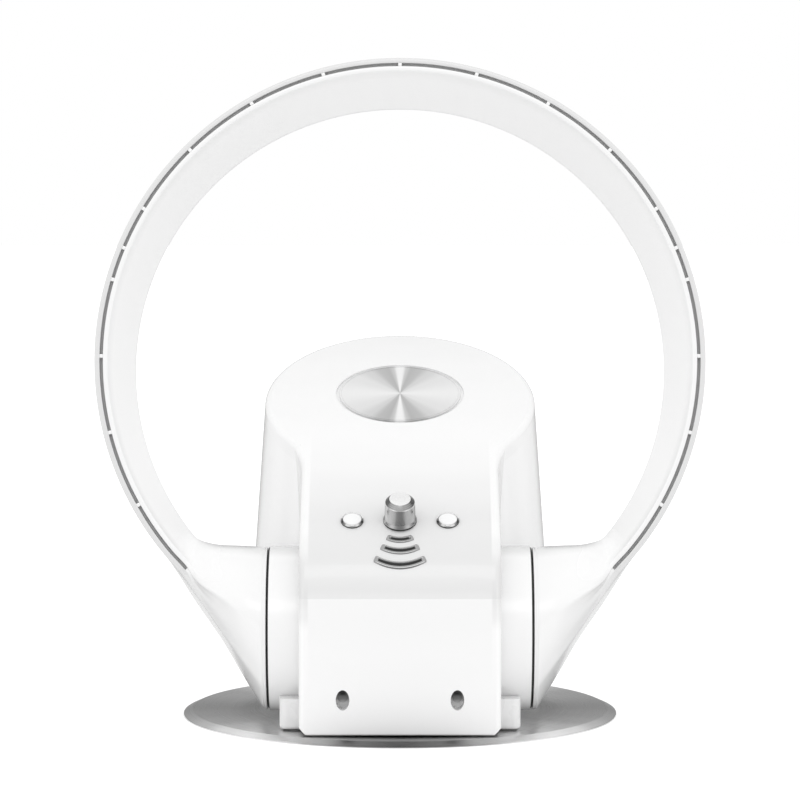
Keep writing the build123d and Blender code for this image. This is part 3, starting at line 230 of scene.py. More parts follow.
# %% Group helpers
def new_group(name, inputs, outputs):
    """A shader node group; gives it, its inputs as seen inside, and its results to be linked.

    A socket called Colour holds a colour, and every other socket holds a number."""
    group = bpy.data.node_groups.new(name, "ShaderNodeTree")
    kinds = {"Colour": "NodeSocketColor"}
    for label, value in inputs.items():
        kind = kinds.get(label, "NodeSocketFloat")
        group.interface.new_socket(label, in_out="INPUT", socket_type=kind).default_value = value
    for label in outputs:
        kind = kinds.get(label, "NodeSocketFloat")
        group.interface.new_socket(label, in_out="OUTPUT", socket_type=kind)
    return group, group.nodes.new("NodeGroupInput").outputs, group.nodes.new("NodeGroupOutput").inputs


def give(group, results, values):
    """Link a group's results by name."""
    for label, value in values.items():
        group.links.new(value, results[label])
    print("group", group.name, "gives", ", ".join(values))


def use_group(tree, group, values):
    """Place a group in a material with its values; gives its outputs."""
    return add_node(tree, "ShaderNodeGroup", values, node_tree=group).outputs


# %% Moulded skin
moulded_skin, given, results = new_group(
    "moulded_skin", {"Colour": grey(0.9), "Mottle": 0.02, "Flow Scale": 18, "Peel Scale": 900,
                     "Gloss Low": 0.2, "Gloss High": 0.3}, ("Colour", "Roughness", "Height"))
place = object_place(moulded_skin)
flow = add_node(moulded_skin, "ShaderNodeTexNoise",
                {"Vector": place, "Scale": given["Flow Scale"], "Detail": 4.0}).outputs["Fac"]
peel = add_node(moulded_skin, "ShaderNodeTexNoise",
                {"Vector": place, "Scale": given["Peel Scale"], "Detail": 2.0}).outputs["Fac"]
kept = calc(moulded_skin, "SUBTRACT", 1.0, calc(moulded_skin, "MULTIPLY", flow, given["Mottle"]))
give(moulded_skin, results, {
    "Colour": scaled(moulded_skin, given["Colour"], kept),
    "Roughness": remap(moulded_skin, flow, 0.35, 0.65, given["Gloss Low"], given["Gloss High"]),
    "Height": peel})

# %% Turned rings
turned_rings, given, results = new_group(
    "turned_rings", {"Colour": grey(0.6), "Contrast": 0.1, "Rings per Metre": 3000, "Gloss Low": 0.2,
                     "Gloss High": 0.35}, ("Colour", "Roughness", "Height", "Turn", "Radius"))
place = apart(turned_rings, object_place(turned_rings))
flat = add_node(turned_rings, "ShaderNodeCombineXYZ", {"X": place["X"], "Y": place["Y"]})
radius = length(turned_rings, flat.outputs[0])
count = calc(turned_rings, "MULTIPLY", radius, given["Rings per Metre"])
ring = add_node(turned_rings, "ShaderNodeTexNoise", {"W": count, "Scale": 1.0, "Detail": 3.0},
                noise_dimensions="1D").outputs["Fac"]
turn = calc(turned_rings, "ARCTAN2", place["X"], calc(turned_rings, "MULTIPLY", place["Y"], -1.0))
kept = calc(turned_rings, "SUBTRACT", 1.0, calc(turned_rings, "MULTIPLY", ring, given["Contrast"]))
give(turned_rings, results, {
    "Colour": scaled(turned_rings, given["Colour"], kept),
    "Roughness": remap(turned_rings, ring, 0.3, 0.7, given["Gloss Low"], given["Gloss High"]),
    "Height": ring,
    "Turn": remap(turned_rings, turn, -pi, pi),
    "Radius": radius})

# %% [markdown]
# ## Where the covers' painted light and shade lie
# In the studio the light falls off over the covers' height, changes in a strip along their
# rounded side edges, and fades down the two screw wells. More lamps could do that, but the fan
# swings and tilts among them, so that light and shade are painted into the covers' colour. A
# group finds those places on the piece itself: its height, a mask beside the strip's inner edge,
# and a mask inside the wells. The start of the wells is measured on the imported cover, a
# little behind the skin that they are sunk into.

# %% Places on the covers
strip_edge, strip_blend = 59.0 * mm, 0.6 * mm
well_across, well_up = 36.8 * mm, 27 * mm
well_half_width, well_half_height = 4.35 * mm, 6.5 * mm
well_reach = 1.2  # as a share of the well's own half size
skin_by_wells = [corner.co.y for corner in frame["nodes"]["front_cover"].data.vertices
                 if abs(abs(corner.co.x) - well_across) < 6 * mm and abs(corner.co.z - well_up) < 7 * mm]
well_start = min(skin_by_wells) + 0.9 * mm

cover_places, given, results = new_group(
    "cover_places", {"Strip Starts": strip_edge - strip_blend, "Strip Full": strip_edge + strip_blend,
                     "Well Start": well_start}, ("Height", "Beside", "In Well"))
place = apart(cover_places, object_place(cover_places))
sideways = calc(cover_places, "ABSOLUTE", place["X"])
offset = add_node(cover_places, "ShaderNodeCombineXYZ",
                  {"X": calc(cover_places, "SUBTRACT", sideways, well_across),
                   "Y": calc(cover_places, "SUBTRACT", place["Z"], well_up)})
spread = add_node(cover_places, "ShaderNodeVectorMath",
                  {0: offset.outputs[0], 1: (1 / well_half_width, 1 / well_half_height, 0)},
                  operation="MULTIPLY")
near = calc(cover_places, "LESS_THAN", length(cover_places, spread.outputs[0]), well_reach)
deep = calc(cover_places, "GREATER_THAN", place["Y"], given["Well Start"])
give(cover_places, results, {
    "Height": place["Z"],
    "Beside": remap(cover_places, sideways, given["Strip Starts"], given["Strip Full"]),
    "In Well": calc(cover_places, "MULTIPLY", near, deep)})
print("wells start", round(well_start / mm, 2), "mm from the middle")


# %% [markdown]
# ## Making a finish
# Each finish is a Principled shader with a group in front of it. The colour passes through the
# painted light, shade and reflections that the piece needs, then a painted darker rim where the
# skin turns away, which stands for the dim sides of the studio. A helper builds any moulded
# plastic, and another any turned metal.

# %% Parts of a finish
finishes = {}


def new_finish(name):
    """A new material, kept under its name; gives its node tree and its Principled shader."""
    made = bpy.data.materials.new(name)
    made.use_nodes = True
    finishes[name] = made
    return made.node_tree, made.node_tree.nodes["Principled BSDF"]


def wire(tree, shader, colour, roughness, height, bump_depth):
    """Link a finish's colour, roughness and height to the shader."""
    tree.links.new(colour, shader.inputs["Base Color"])
    tree.links.new(roughness, shader.inputs["Roughness"])
    bump = add_node(tree, "ShaderNodeBump", {"Height": height, "Strength": 0.4, "Distance": bump_depth})
    tree.links.new(bump.outputs["Normal"], shader.inputs["Normal"])


def tone_ramp(tree, factor, stops):
    """Brightness read off a row of (share, brightness) stops."""
    ramp = add_node(tree, "ShaderNodeValToRGB", {"Fac": factor})
    ramp.color_ramp.interpolation = "EASE"
    steps = ramp.color_ramp.elements
    for step, (share, value) in zip(steps, (stops[0], stops[-1])):
        step.position, step.color = share, grey(value)
    for share, value in stops[1:-1]:
        steps.new(share).color = grey(value)
    return ramp.outputs["Color"]


def height_shade(tree, height, shade):
    """Painted light and shade over a piece's own height, read off (height, brightness) pairs."""
    low, high = shade[0][0], shade[-1][0]
    share = remap(tree, height, low, high)
    return tone_ramp(tree, share, [((z - low) / (high - low), value) for z, value in shade])


def marked(tree, name):
    """A number that the mesh carries at its points."""
    return add_node(tree, "ShaderNodeAttribute", attribute_name=name).outputs["Fac"]


# %% Moulded plastic
coat_roughness = 0.06
lining_roughness = 0.25  # how much rougher the satin lining is than the polished skin
rim_starts, rim_full = 0.48, 0.9  # how far the skin turns away where it begins and ends to darken


def plastic(name, colour, low, high, mottle=0.02, peel=900, flow=18, coat=0.0, depth=0.00002, edge=0.0,
            shade=None, strip=None, wells=None, lining=0.0, dim=0.0, specular=0.5):
    """Moulded plastic: colour, roughness range, mottle, ripple, clear coat and a painted darker edge.

    The shade is (height, brightness) pairs of painted light and shade for the skin, and so are the
    strip's and the wells'. The lining and dim amounts say how much the mesh's marked bands are
    painted lighter and darker; the lined band is also a rougher satin without the clear coat."""
    tree, shader = new_finish(name)
    shader.inputs["Coat Weight"].default_value = coat
    shader.inputs["Coat Roughness"].default_value = coat_roughness
    shader.inputs["Specular IOR Level"].default_value = specular
    skin = use_group(tree, moulded_skin, {"Colour": colour, "Mottle": mottle, "Flow Scale": flow,
                                          "Peel Scale": peel, "Gloss Low": low, "Gloss High": high})
    tone, rough, darkest = skin["Colour"], skin["Roughness"], 1 - edge
    # painted light and shade: over the skin's height, in the side strips and down the screw wells
    if shade:
        places = use_group(tree, cover_places, {})
        light = height_shade(tree, places["Height"], shade)
        for mask, inside in (("Beside", strip), ("In Well", wells)):
            if inside:
                light = mixed(tree, places[mask], light, height_shade(tree, places["Height"], inside))
        tone = scaled(tree, tone, light)
    # painted shade: the marked lip and arm tops are painted darker by the dim amount
    if dim:
        tone = scaled(tree, tone, calc(tree, "MULTIPLY_ADD", marked(tree, "painted_shade"), -dim, 1.0))
    # painted light: the lined funnel is painted lighter by the lining amount; it is also a rougher satin without
    # the clear coat
    if lining:
        lined_and_lit = marked(tree, "lining")
        bare = calc(tree, "SUBTRACT", 1.0, lined_and_lit)
        tone = scaled(tree, tone, calc(tree, "MULTIPLY_ADD", lined_and_lit, lining, 1.0))
        rough = calc(tree, "MULTIPLY_ADD", lined_and_lit, lining_roughness, rough)
        darkest = calc(tree, "MULTIPLY_ADD", bare, -edge, 1.0)
        tree.links.new(calc(tree, "MULTIPLY", bare, coat), shader.inputs["Coat Weight"])
    # painted shade: the colour darkens where the skin turns away from the camera, standing for the studio's dim
    # sides
    if edge:
        facing_away = add_node(tree, "ShaderNodeLayerWeight", {"Blend": 0.5}).outputs["Facing"]
        tone = scaled(tree, tone, remap(tree, facing_away, rim_starts, rim_full, 1.0, darkest))
    wire(tree, shader, tone, rough, skin["Height"], depth)


# %% Turned metal
def turned_metal(name, colour, low, high, rings=3000, contrast=0.12, stretch=0.6, depth=0.00001, tones=(),
                 bare=(0.0, 0.0001)):
    """Lathe-turned metal: colour, roughness range, rings, and highlights stretched round the axis.

    The tones are painted reflections, as (degrees from the front, brightness). They come in between the two bare
    radii."""
    tree, shader = new_finish(name)
    metal = use_group(tree, turned_rings, {"Colour": colour, "Contrast": contrast, "Rings per Metre": rings,
                                           "Gloss Low": low, "Gloss High": high})
    tone = metal["Colour"]
    if tones:
        if min(tones)[0] >= 0:  # given for one side, and the same on the other
            tones = sorted({(sign * angle, value) for angle, value in tones for sign in (-1, 1)})
        sectors = tone_ramp(tree, metal["Turn"], [(angle / 360 + 0.5, value) for angle, value in tones])
        tone = scaled(tree, tone, mixed(tree, remap(tree, metal["Radius"], *bare), 1.0, sectors))
    wire(tree, shader, tone, metal["Roughness"], metal["Height"], depth)
    shader.inputs["Metallic"].default_value = 1.0
    shader.inputs["Anisotropic"].default_value = stretch
    round_axis = add_node(tree, "ShaderNodeTangent", direction_type="RADIAL", axis="Z")
    tree.links.new(round_axis.outputs["Tangent"], shader.inputs["Tangent"])


# %% [markdown]
# ## White shells
# The shells are white plastic under a clear gloss, moulded and polished. All share the same
# skin. They differ in how much light the studio leaves on them, and that is painted into their
# colour: the covers have painted tones over their height, and pieces that stand in the shade,
# such as the saddle, are painted a little darker.

# %% White shells
# painted shade: how bright the covers' skin is painted over its height in metres, as the studio's shades fall on
# it
cover_shade = ((0.092, 0.9), (0.099, 0.86), (0.112, 0.835), (0.139, 0.86), (0.156, 0.91), (0.172, 0.96),
               (0.19, 1.0), (0.205, 1.0), (0.225, 0.98), (0.236, 0.95), (0.248, 0.91))
# painted light and shade: the rounded side edges of the covers catch more light above the drum, and less in front
# of it
cover_strip = ((0.092, 0.84), (0.112, 0.84), (0.124, 0.94), (0.135, 1.0), (0.19, 1.0), (0.205, 1.0),
               (0.225, 0.98), (0.236, 0.95), (0.248, 0.91))
# painted shade: the front cover is painted a little darker towards its top, and its rounded side edges more so
front_shade = ((0.004, 1.0), (0.03, 1.0), (0.05, 0.985), (0.08, 0.965), (0.092, 0.965))
front_strip = ((0.004, 1.0), (0.07, 1.0), (0.082, 0.9), (0.092, 0.85))
# painted shade: the screw wells are painted dark above and light below, because the light comes from above
well_shade = ((0.0205, 1.0), (0.024, 1.0), (0.0275, 0.55), (0.0305, 0.14), (0.0335, 0.02))


def white_shell(name, tone, edge, low=0.23, high=0.26, **settings):
    """Polished white plastic: its tone, set lighter or darker as painted light, and how much painted shade darkens
    it where it turns away.
    """
    plastic(name, grey(tone), low, high, mottle=0.008, coat=0.5, edge=edge, **settings)


white_shell("white_gloss", 0.945, 0.2)
white_shell("cover_gloss", 0.945, 0.18, shade=cover_shade, strip=cover_strip)
white_shell("front_gloss", 1.0, 0.05, shade=front_shade, strip=front_strip, wells=well_shade)
white_shell("drum_gloss", 0.97, 0.34)
white_shell("housing_gloss", 0.965, 0.22)
# painted shade: the saddle stands in the shade, so its white is painted darker
plastic("saddle_gloss", grey(0.9), 0.25, 0.3, mottle=0.008, coat=0.4)
# painted light and shade on the hoop: its lined funnel is painted lighter, its marked lip and arm tops darker
white_shell("hoop_gloss", 0.94, 0.22, low=0.21, high=0.24, lining=0.04, dim=0.18)
print("white shells", len(finishes))

# %% [markdown]
# ## Bright metal
# The plate, badge and knob are turned on a lathe, so their highlights stretch across the rings:
# that needs anisotropy and a tangent that runs round the piece's own axis. A disc like that
# shows bright and dark sectors, where its rings mirror lamps and flags. Real reflections of
# one lamp give only two of them, so the others are painted reflections: tones round the axis,
# which turn with the piece. The knob's tones start at the corner of its flat top, which stays
# bare.

# %% Painted reflections round the axis
plate_tones = ((0, 0.1), (13, 0.18), (22, 0.44), (31, 0.75), (42, 0.92), (52, 0.76), (63, 0.5), (76, 0.38),
               (90, 0.3), (118, 0.45), (138, 0.85), (150, 0.6), (165, 0.35), (180, 0.25))
badge_tones = ((0, 0.95), (3, 0.93), (7, 0.62), (12, 0.5), (20, 0.53), (33, 0.7), (50, 0.82), (90, 0.92),
               (130, 0.82), (147, 0.7), (160, 0.53), (168, 0.5), (173, 0.62), (177, 0.93), (180, 0.95))
knob_tones = ((-180, 0.6), (-130, 0.4), (-86, 0.2), (-66, 0.85), (-44, 0.7), (-14, 0.48), (10, 0.44),
              (36, 0.58), (60, 0.66), (84, 0.16), (120, 0.4), (179, 0.6))
shoulder_tones = ((-180, 0.6), (-100, 0.1), (-72, 0.12), (-48, 0.42), (-20, 0.5), (0, 0.75), (20, 0.42),
                  (48, 0.34), (72, 0.1), (100, 0.08), (179, 0.6))
rim_tones = ((0, 0.9), (30, 0.8), (46, 0.35), (66, 0.04), (86, 0.3), (102, 0.95), (180, 0.95))
knob_top_bare = (6.95 * mm, 7.2 * mm)

# %% Bright metal
turned_metal("plate_metal", grey(1.0), 0.26, 0.36, rings=2600, contrast=0.08, stretch=0.5, tones=plate_tones)
turned_metal("badge_metal", grey(1.0), 0.3, 0.36, rings=3600, contrast=0.1, stretch=0.3, tones=badge_tones)
turned_metal("knob_metal", grey(0.97), 0.22, 0.3, rings=3200, contrast=0.1, stretch=0.3, tones=knob_tones,
             bare=knob_top_bare)
turned_metal("knob_shoulder", grey(0.97), 0.22, 0.3, rings=3200, contrast=0.1, stretch=0.3,
             tones=shoulder_tones)
turned_metal("knob_edge", grey(1.0), 0.2, 0.26, rings=3200, contrast=0.05, stretch=0.2)
turned_metal("rim_chrome", grey(0.95), 0.08, 0.12, rings=1200, contrast=0.05, stretch=0.0, tones=rim_tones)
turned_metal("chrome_trim", grey(0.42), 0.08, 0.14, rings=1200, contrast=0.05, stretch=0.0)
print("finishes so far", len(finishes))

# %% [markdown]
# ## What hides inside
# Other views look in at the grille and between the hubs, so the works get their real finishes
# too: dull moulded frames, pale bearing plastic, rubber, steel, enamelled copper and a circuit
# board. The heads of the two cover screws lie deep in their wells, so they are painted darker
# towards the top, as painted shade.

# %% Inside finishes
# painted shade: the screw heads' brightness over their height in metres, dark towards the top
screw_shade = ((0.0235, 0.9), (0.027, 0.4), (0.0305, 0.05))
plastic("inner_plastic", grey(0.5), 0.42, 0.55, mottle=0.08, peel=2600)
plastic("bearing_plastic", (0.82, 0.8, 0.74, 1), 0.35, 0.45, mottle=0.06)
plastic("black_plastic", grey(0.03), 0.35, 0.5, mottle=0.3, peel=3200)
plastic("rubber", grey(0.035), 0.6, 0.8, mottle=0.35, peel=4200, depth=0.00006)
plastic("dark_lens", grey(0.02), 0.2, 0.3, mottle=0.2, specular=0.3)
plastic("circuit_board", (0.02, 0.12, 0.05, 1), 0.3, 0.45, mottle=0.5, flow=420)
turned_metal("steel", grey(0.55), 0.25, 0.4, rings=2200, contrast=0.2, stretch=0.3)
plastic("well_steel", grey(0.9), 0.3, 0.45, mottle=0.1, shade=screw_shade, specular=0.2)
turned_metal("copper_winding", (0.72, 0.32, 0.16, 1), 0.3, 0.45, rings=1900, contrast=0.5, stretch=0.2,
             depth=0.0003)

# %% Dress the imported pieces
own_finish = {"front_cover": "front_gloss", "saddle": "saddle_gloss", "top_cover": "cover_gloss",
              "drum_housing": "drum_gloss", "rear_housing": "housing_gloss", "cover_screws": "well_steel"}
for part in frame["record"]["subparts"]:
    node = frame["nodes"][part["node"]]
    node.data.materials.clear()
    node.data.materials.append(finishes[own_finish.get(part["node"], part["material_slot"])])


# %% [markdown]
# ## The air hoop and its arms
# On the real fan the hoop and both arms read as one smooth shell: the hoop's rounded outside,
# its flat front with the air slot, and its funnel run on down the arms and swell into the
# round hubs. A revolved ring with two cones stuck on would show a break at each end. So the
# shell is drawn as rings of points. Every point of a ring lies on its own track, and the tracks
# run without a break from the hub up the arm and round the hoop. One half is made and mirrored.

# %% Where the hoop is
tilt_axis = next(Vector(joint["pos_m"]) for joint in frame["joints"] if joint["name"] == "hoop_tilt")
hoop_lean = radians(11)
hoop_rise = 174.8 * mm
across = Vector((1, 0, 0))
hoop_up = Vector((0, sin(hoop_lean), cos(hoop_lean)))
hoop_front = Vector((0, -cos(hoop_lean), sin(hoop_lean)))
hoop_centre = tilt_axis + hoop_up * hoop_rise
print("hoop centre", [round(value, 4) for value in hoop_centre])

# %% Tracks
# Each track: its place in the hoop's section (radius, forward, mm), then its direction round
# the arm's oval at the hub and at three sections up the arm (degrees, 0 forward, 90 up), how
# far it stands proud there (mm), how closely it keeps to the hoop where the slot ends, and
# whether it belongs to the hoop's outer side (1) or to its funnel (0).
tracks = (
    (186.0, -30.8, (180, 180, 180, 180), (0, 0, 0), 0, 0),
    (190.2, -28.4, (202, 202, 202, 200), (0, 0, 0), 0, 1),
    (193.2, -23.5, (219, 219, 219, 216), (0, 0, 0), 0, 1),
    (195.3, -17.0, (234, 234, 234, 230), (0, 0, 0), 0, 1),
    (197.4, -8.0, (247, 247, 246, 243), (0.3, 0, 0), 0, 1),
    (199.2, 3.0, (259, 258, 257, 256), (0.4, 0, 0), 0, 1),
    (200.2, 14.0, (271, 269, 269, 270), (0.4, 0, 0), 0, 1),
    (200.6, 24.0, (288, 285, 284, 288), (0.4, 0, 0), 0, 1),
    (200.6, 29.6, (308, 306, 303, 308), (0.6, 0.8, 0.8), 0.2, 1),
    (200.3, 30.5, (313.5, 311, 308, 313.5), (1.3, 1.8, 1.4), 0.5, 1),
    (199.5, 30.8, (319, 315, 312, 317), (0.5, 0.6, 0.6), 0.8, 1),
    (197.3, 30.8, (327, 325, 321, 322), (-0.1, -0.2, -0.2), 1, 1),
    (197.0, 30.5, (333, 333, 328, 325), (-0.4, -0.7, -0.6), 1, 1),
    (197.0, 30.2, (340, 341, 335, 328), (-0.6, -1.2, -1.0), 1, 1),
    (195.0, 30.2, (349, 348, 342, 331.5), (-0.4, -0.8, -0.6), 1, 1),
    (195.0, 30.5, (356, 352, 347, 335), (0, 0, 0), 1, 1),
    (194.7, 30.8, (361, 356, 351, 338), (0.8, 1.6, 1.2), 1, 1),
    (192.7, 30.8, (366, 360, 354, 340.5), (0.6, 1.3, 1.0), 1, 1),
    (192.0, 30.5, (370, 364.4, 357, 343), (0, 0.2, 0.4), 1, 1),
    (191.7, 29.8, (375, 369, 362, 348), (-0.3, -0.3, 0), 1, 1),
    (189.0, 19.0, (389, 385, 380, 365), (-0.6, -1.0, -0.6), 0.8, 0),
    (186.0, 7.0, (404, 401, 397, 385), (-0.4, -0.8, -0.4), 0.5, 0),
    (183.0, -5.0, (417, 417, 412, 403.5), (0.8, 0.8, 0.5), 0.2, 0),
    (180.3, -16.0, (432, 433, 431, 428), (0.6, 0.6, 0.4), 0.05, 0),
    (178.8, -22.0, (449, 449, 449, 449), (0, 0, 0), 0, 0),
    (177.6, -26.8, (463, 464, 465, 467), (0, 0, 0), 0, 0),
    (176.9, -29.6, (478, 480, 482, 485), (0, 0, 0), 0, 0),
    (177.3, -30.5, (484, 486, 488, 491), (0, 0, 0), 0, 0),
    (178.2, -30.8, (490, 492, 494, 497), (0, 0, 0), 0, 0),
    (182.0, -30.8, (514, 514, 515, 516), (0, 0, 0), 0, 0),
)
slot_floor_tracks = (13, 14)
slot_face_tracks = (12, 13, 14)
print("tracks", len(tracks))

# %% [markdown]
# ## Rings of points
# The arm is an oval that shrinks and turns as it climbs from the hub, so four of its sections
# are given by their low and high points. Where the slot ends, the tracks in front already keep
# to the hoop and the others are still on the arm. From there on a ring is the hoop's own
# section, every four degrees. Angles count from the hoop's right side upwards.

# %% Rings along the arm and the hoop
slot_depth = 3.0 * mm
slot_end_angle = -44.6
slot_lip_next, arm_end_next = -41, -39.5  # where the tracks outside and inside run on, degrees
# each section of the arm: its low and high point, across and up from the tilt axis, mm
arm_sections = (
    ((89.5, -54.0), (89.5, 54.0), 54.0),
    ((103.5, -31.0), (104.2, 54.3), 51.0),
    ((117.2, -8.1), (120.2, 55.0), 44.0),
    ((135.3, 17.9), (128.7, 56.5), 35.9),
)


def on_hoop(angle, radius, forward):
    """Point of the hoop at an angle above its right side, radius and forward in mm."""
    outwards = across * cos(radians(angle)) + hoop_up * sin(radians(angle))
    return hoop_centre + outwards * (radius * mm) + hoop_front * (forward * mm)


def arm_ring(number):
    """Ring of points round one of the arm's sections."""
    low, high, depth = arm_sections[number]
    low, high, depth = Vector(low) * mm, Vector(high) * mm, depth * mm
    ring = []
    for radius, forward, directions, bumps, keep, outside in tracks:
        turn = radians(directions[number])
        bump = bumps[number - 1] * mm if number else 0
        place = (low + high) / 2 + ((high - low) / 2 + (high - low).normalized() * bump) * sin(turn)
        ring.append(tilt_axis + across * place.x + hoop_up * place.y
                    + hoop_front * (depth + bump) * cos(turn))
    return ring


def hoop_ring(angle, inner_shift=0.0):
    """Ring of points round the hoop's section; the inner tracks may be taken further round."""
    ring = []
    for radius, forward, directions, bumps, keep, outside in tracks:
        ring.append(on_hoop(angle + (1 - keep) * (1 - outside) * inner_shift, radius, forward))
    return ring


def slot_end_ring():
    """Ring where the slot ends: its front keeps to the hoop, the rest is already on the arm."""
    ring = []
    arm = arm_ring(len(arm_sections) - 1)
    for number, (radius, forward, directions, bumps, keep, outside) in enumerate(tracks):
        hoop_point = on_hoop(slot_end_angle, radius, forward)
        last = on_hoop(slot_lip_next if outside else arm_end_next, radius, forward)
        ring.append(hoop_point * keep + (last + arm[number]) / 2 * (1 - keep))
    return ring


# %% Key rings
# past the slot's end: a ring's angle, and how much further round its inner tracks run, degrees
rings_past_end = ((-41, 2.6), (-38, 1.6))
first_even_angle, top_angle, angle_step = -34, 90, 4
ring_keys = [arm_ring(number) for number in range(len(arm_sections))]
slot_end_key = len(ring_keys)
ring_keys += [slot_end_ring()] + [hoop_ring(*past) for past in rings_past_end]
ring_keys += [hoop_ring(angle) for angle in range(first_even_angle, top_angle, angle_step)]
ring_keys += [hoop_ring(top_angle)]
print("key rings", len(ring_keys))


# %% [markdown]
# ## Smooth tracks
# A smooth curve is laid along each track through its key points, so the shell bends softly in
# both directions without many rings to place by hand. A moulded inner corner has no crease, so
# the tracks there are evened out. A short step behind the slot's end then drops its floor.

# %% Smooth curve through points
def tangent(before, here, after):
    """Slope of a smooth curve through three points, per length."""
    first = (here - before).length
    second = (after - here).length
    return ((here - before) / first * second + (after - here) / second * first) / (first + second)


def smooth_track(points, steps):
    """Points of a smooth curve through the given ones, with so many steps between each two."""
    slopes = [(points[1] - points[0]).normalized()]
    slopes += [tangent(*points[i - 1:i + 2]) for i in range(1, len(points) - 1)]
    slopes += [(points[-1] - points[-2]).normalized()]
    curve = []
    for i in range(len(points) - 1):
        length = (points[i + 1] - points[i]).length
        for step in range(steps):
            t = step / steps
            curve.append(points[i] * (2 * t ** 3 - 3 * t ** 2 + 1)
                         + slopes[i] * length * (t ** 3 - 2 * t ** 2 + t)
                         + points[i + 1] * (3 * t ** 2 - 2 * t ** 3)
                         + slopes[i + 1] * length * (t ** 3 - t ** 2))
    return curve + [points[-1]]


# %% Smooth rings
ring_steps = 4
slot_start = slot_end_key * ring_steps
inner_tracks, evening_rounds, evening_reach = slice(20, 30), 30, 6
slot_end_wall = 0.3 * mm
smooth_tracks = [smooth_track([ring[i] for ring in ring_keys], ring_steps) for i in range(len(tracks))]
for path in smooth_tracks[inner_tracks]:
    for _ in range(evening_rounds):
        before = list(path)
        for i in range(slot_start - evening_reach, slot_start + evening_reach):
            path[i] = before[i] * 0.5 + (before[i - 1] + before[i + 1]) * 0.25
rings = [list(ring) for ring in zip(*smooth_tracks)]
rings.insert(slot_start, [point + (nearer - point).normalized() * slot_end_wall
                          for point, nearer in zip(rings[slot_start], rings[slot_start - 1])])
for ring in rings[slot_start + 1:]:
    for number in slot_floor_tracks:
        ring[number] = ring[number] - hoop_front * slot_depth
print("rings", len(rings))

# %% [markdown]
# ## Collar of the hub
# The hub ends against the drum in a flat face. Its corner is broken and a shallow step follows,
# which gives the fine line where the arm turns against the drum. A collar of its own would
# leave a seam, so it is seven more rings on the same tracks.

# %% The hub's collar
hub_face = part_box("arm_right")[0].x
# from the face against the drum outwards: how far along the axis, and the radius, mm
collar_steps = ((0.5, 43.5), (0.5, 53.0), (0.8, 53.75), (1.3, 54.0), (1.9, 54.0), (2.1, 53.6), (2.9, 53.5))
collar = []
for along, radius in collar_steps:
    ring = []
    for _, _, directions, _, _, _ in tracks:
        turn = radians(directions[0])
        ring.append(tilt_axis + across * (hub_face + along * mm)
                    + (hoop_up * sin(turn) + hoop_front * cos(turn)) * radius * mm)
    collar.append(ring)
rings = collar + rings
print("rings with the collar", len(rings))


# %% [markdown]
# ## Pieces from rings
# Every shape from here on is rings of points with quads between them, so two short helpers make
# all the meshes. Each piece is told which body it rides on, so it moves with the fan's joints,
# and which slot it belongs to, which also names its finish unless it has one of its own.

# %% Mesh helpers
def make_piece(name, points, faces, body, slot, finish=None):
    """A smooth-shaded mesh piece that rides on a body."""
    mesh = bpy.data.meshes.new(name)
    mesh.from_pydata([tuple(point) for point in points], [], faces)
    mesh.materials.append(finishes[finish or slot])
    mesh.polygons.foreach_set("use_smooth", [True] * len(mesh.polygons))
    mesh.update()
    piece = bpy.data.objects.new(name, mesh)
    bpy.context.scene.collection.objects.link(piece)
    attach(piece, body)
    print(name, len(mesh.vertices), "points")
    return piece


def ring_faces(count, size, first=0, closed=False):
    """Quads between neighbouring rings of points; closed joins the last ring to the first."""
    faces = []
    for ring in range(count if closed else count - 1):
        here, there = first + ring * size, first + (ring + 1) % count * size
        for i in range(size):
            beside = (i + 1) % size
            faces.append((here + i, there + i, there + beside, here + beside))
    return faces


# %% [markdown]
# ## The shell
# The rings become one mesh. It keeps two marks at its points for the finish to read: where the
# funnel has its satin lining, which is also painted a little lighter as painted light, and where
# the lip outside the slot and the top of the arms face away from the light and are painted
# darker as painted shade. Marks in the mesh follow the moulded form, which a height can't do on a
# tilting hoop. A mirror makes the other half, and a subdivision rounds what the rings leave.

# %% The shell
air_hoop = make_piece("air_hoop", [point for ring in rings for point in ring],
                      ring_faces(len(rings), len(tracks)), "hoop", "hoop_gloss")
# painted shade: the slot's walls and floor are grey inner plastic, standing for the shade inside the slot
air_hoop.data.materials.append(finishes["inner_plastic"])
first_slot_face = (len(collar) + slot_start) * len(tracks)
for face in air_hoop.data.polygons:
    if face.index >= first_slot_face and face.index % len(tracks) in slot_face_tracks:
        face.material_index = 1
print("slot faces", sum(face.material_index for face in air_hoop.data.polygons))


# %% Marks for the lining's painted light and for the painted shade
def mark_tracks(values, amounts, share):
    """Store a number at the points of some tracks: the track's amount times the ring's share."""
    for ring in range(len(rings)):
        along = min(max((ring - len(collar)) / slot_start, 0), 1)
        for track, amount in amounts.items():
            values.data[ring * len(tracks) + track].value = amount * share(along)


# the funnel's satin lining, which the finish also paints lighter, as painted light
lined_and_lit_tracks = {19: 0.5, 20: 1, 21: 1, 22: 1, 23: 1, 24: 1, 25: 1, 26: 0.5}
# painted shade on the lip outside the slot, and on the tops of the arms
lip_tracks = {7: 0.3, 8: 0.8, 9: 1, 10: 1, 11: 1, 12: 0.6}
arm_tracks = {23: 0.1, 24: 0.75, 25: 0.45, 26: 0.25}
lining = air_hoop.data.attributes.new("lining", "FLOAT", "POINT")
mark_tracks(lining, lined_and_lit_tracks, lambda along: along ** 2)
painted_shade = air_hoop.data.attributes.new("painted_shade", "FLOAT", "POINT")
mark_tracks(painted_shade, lip_tracks, lambda along: along ** 3)
mark_tracks(painted_shade, arm_tracks, lambda along: 1 - along ** 2)
print("marked tracks", len(lined_and_lit_tracks), "lined,", len({**lip_tracks, **arm_tracks}), "painted_shade")

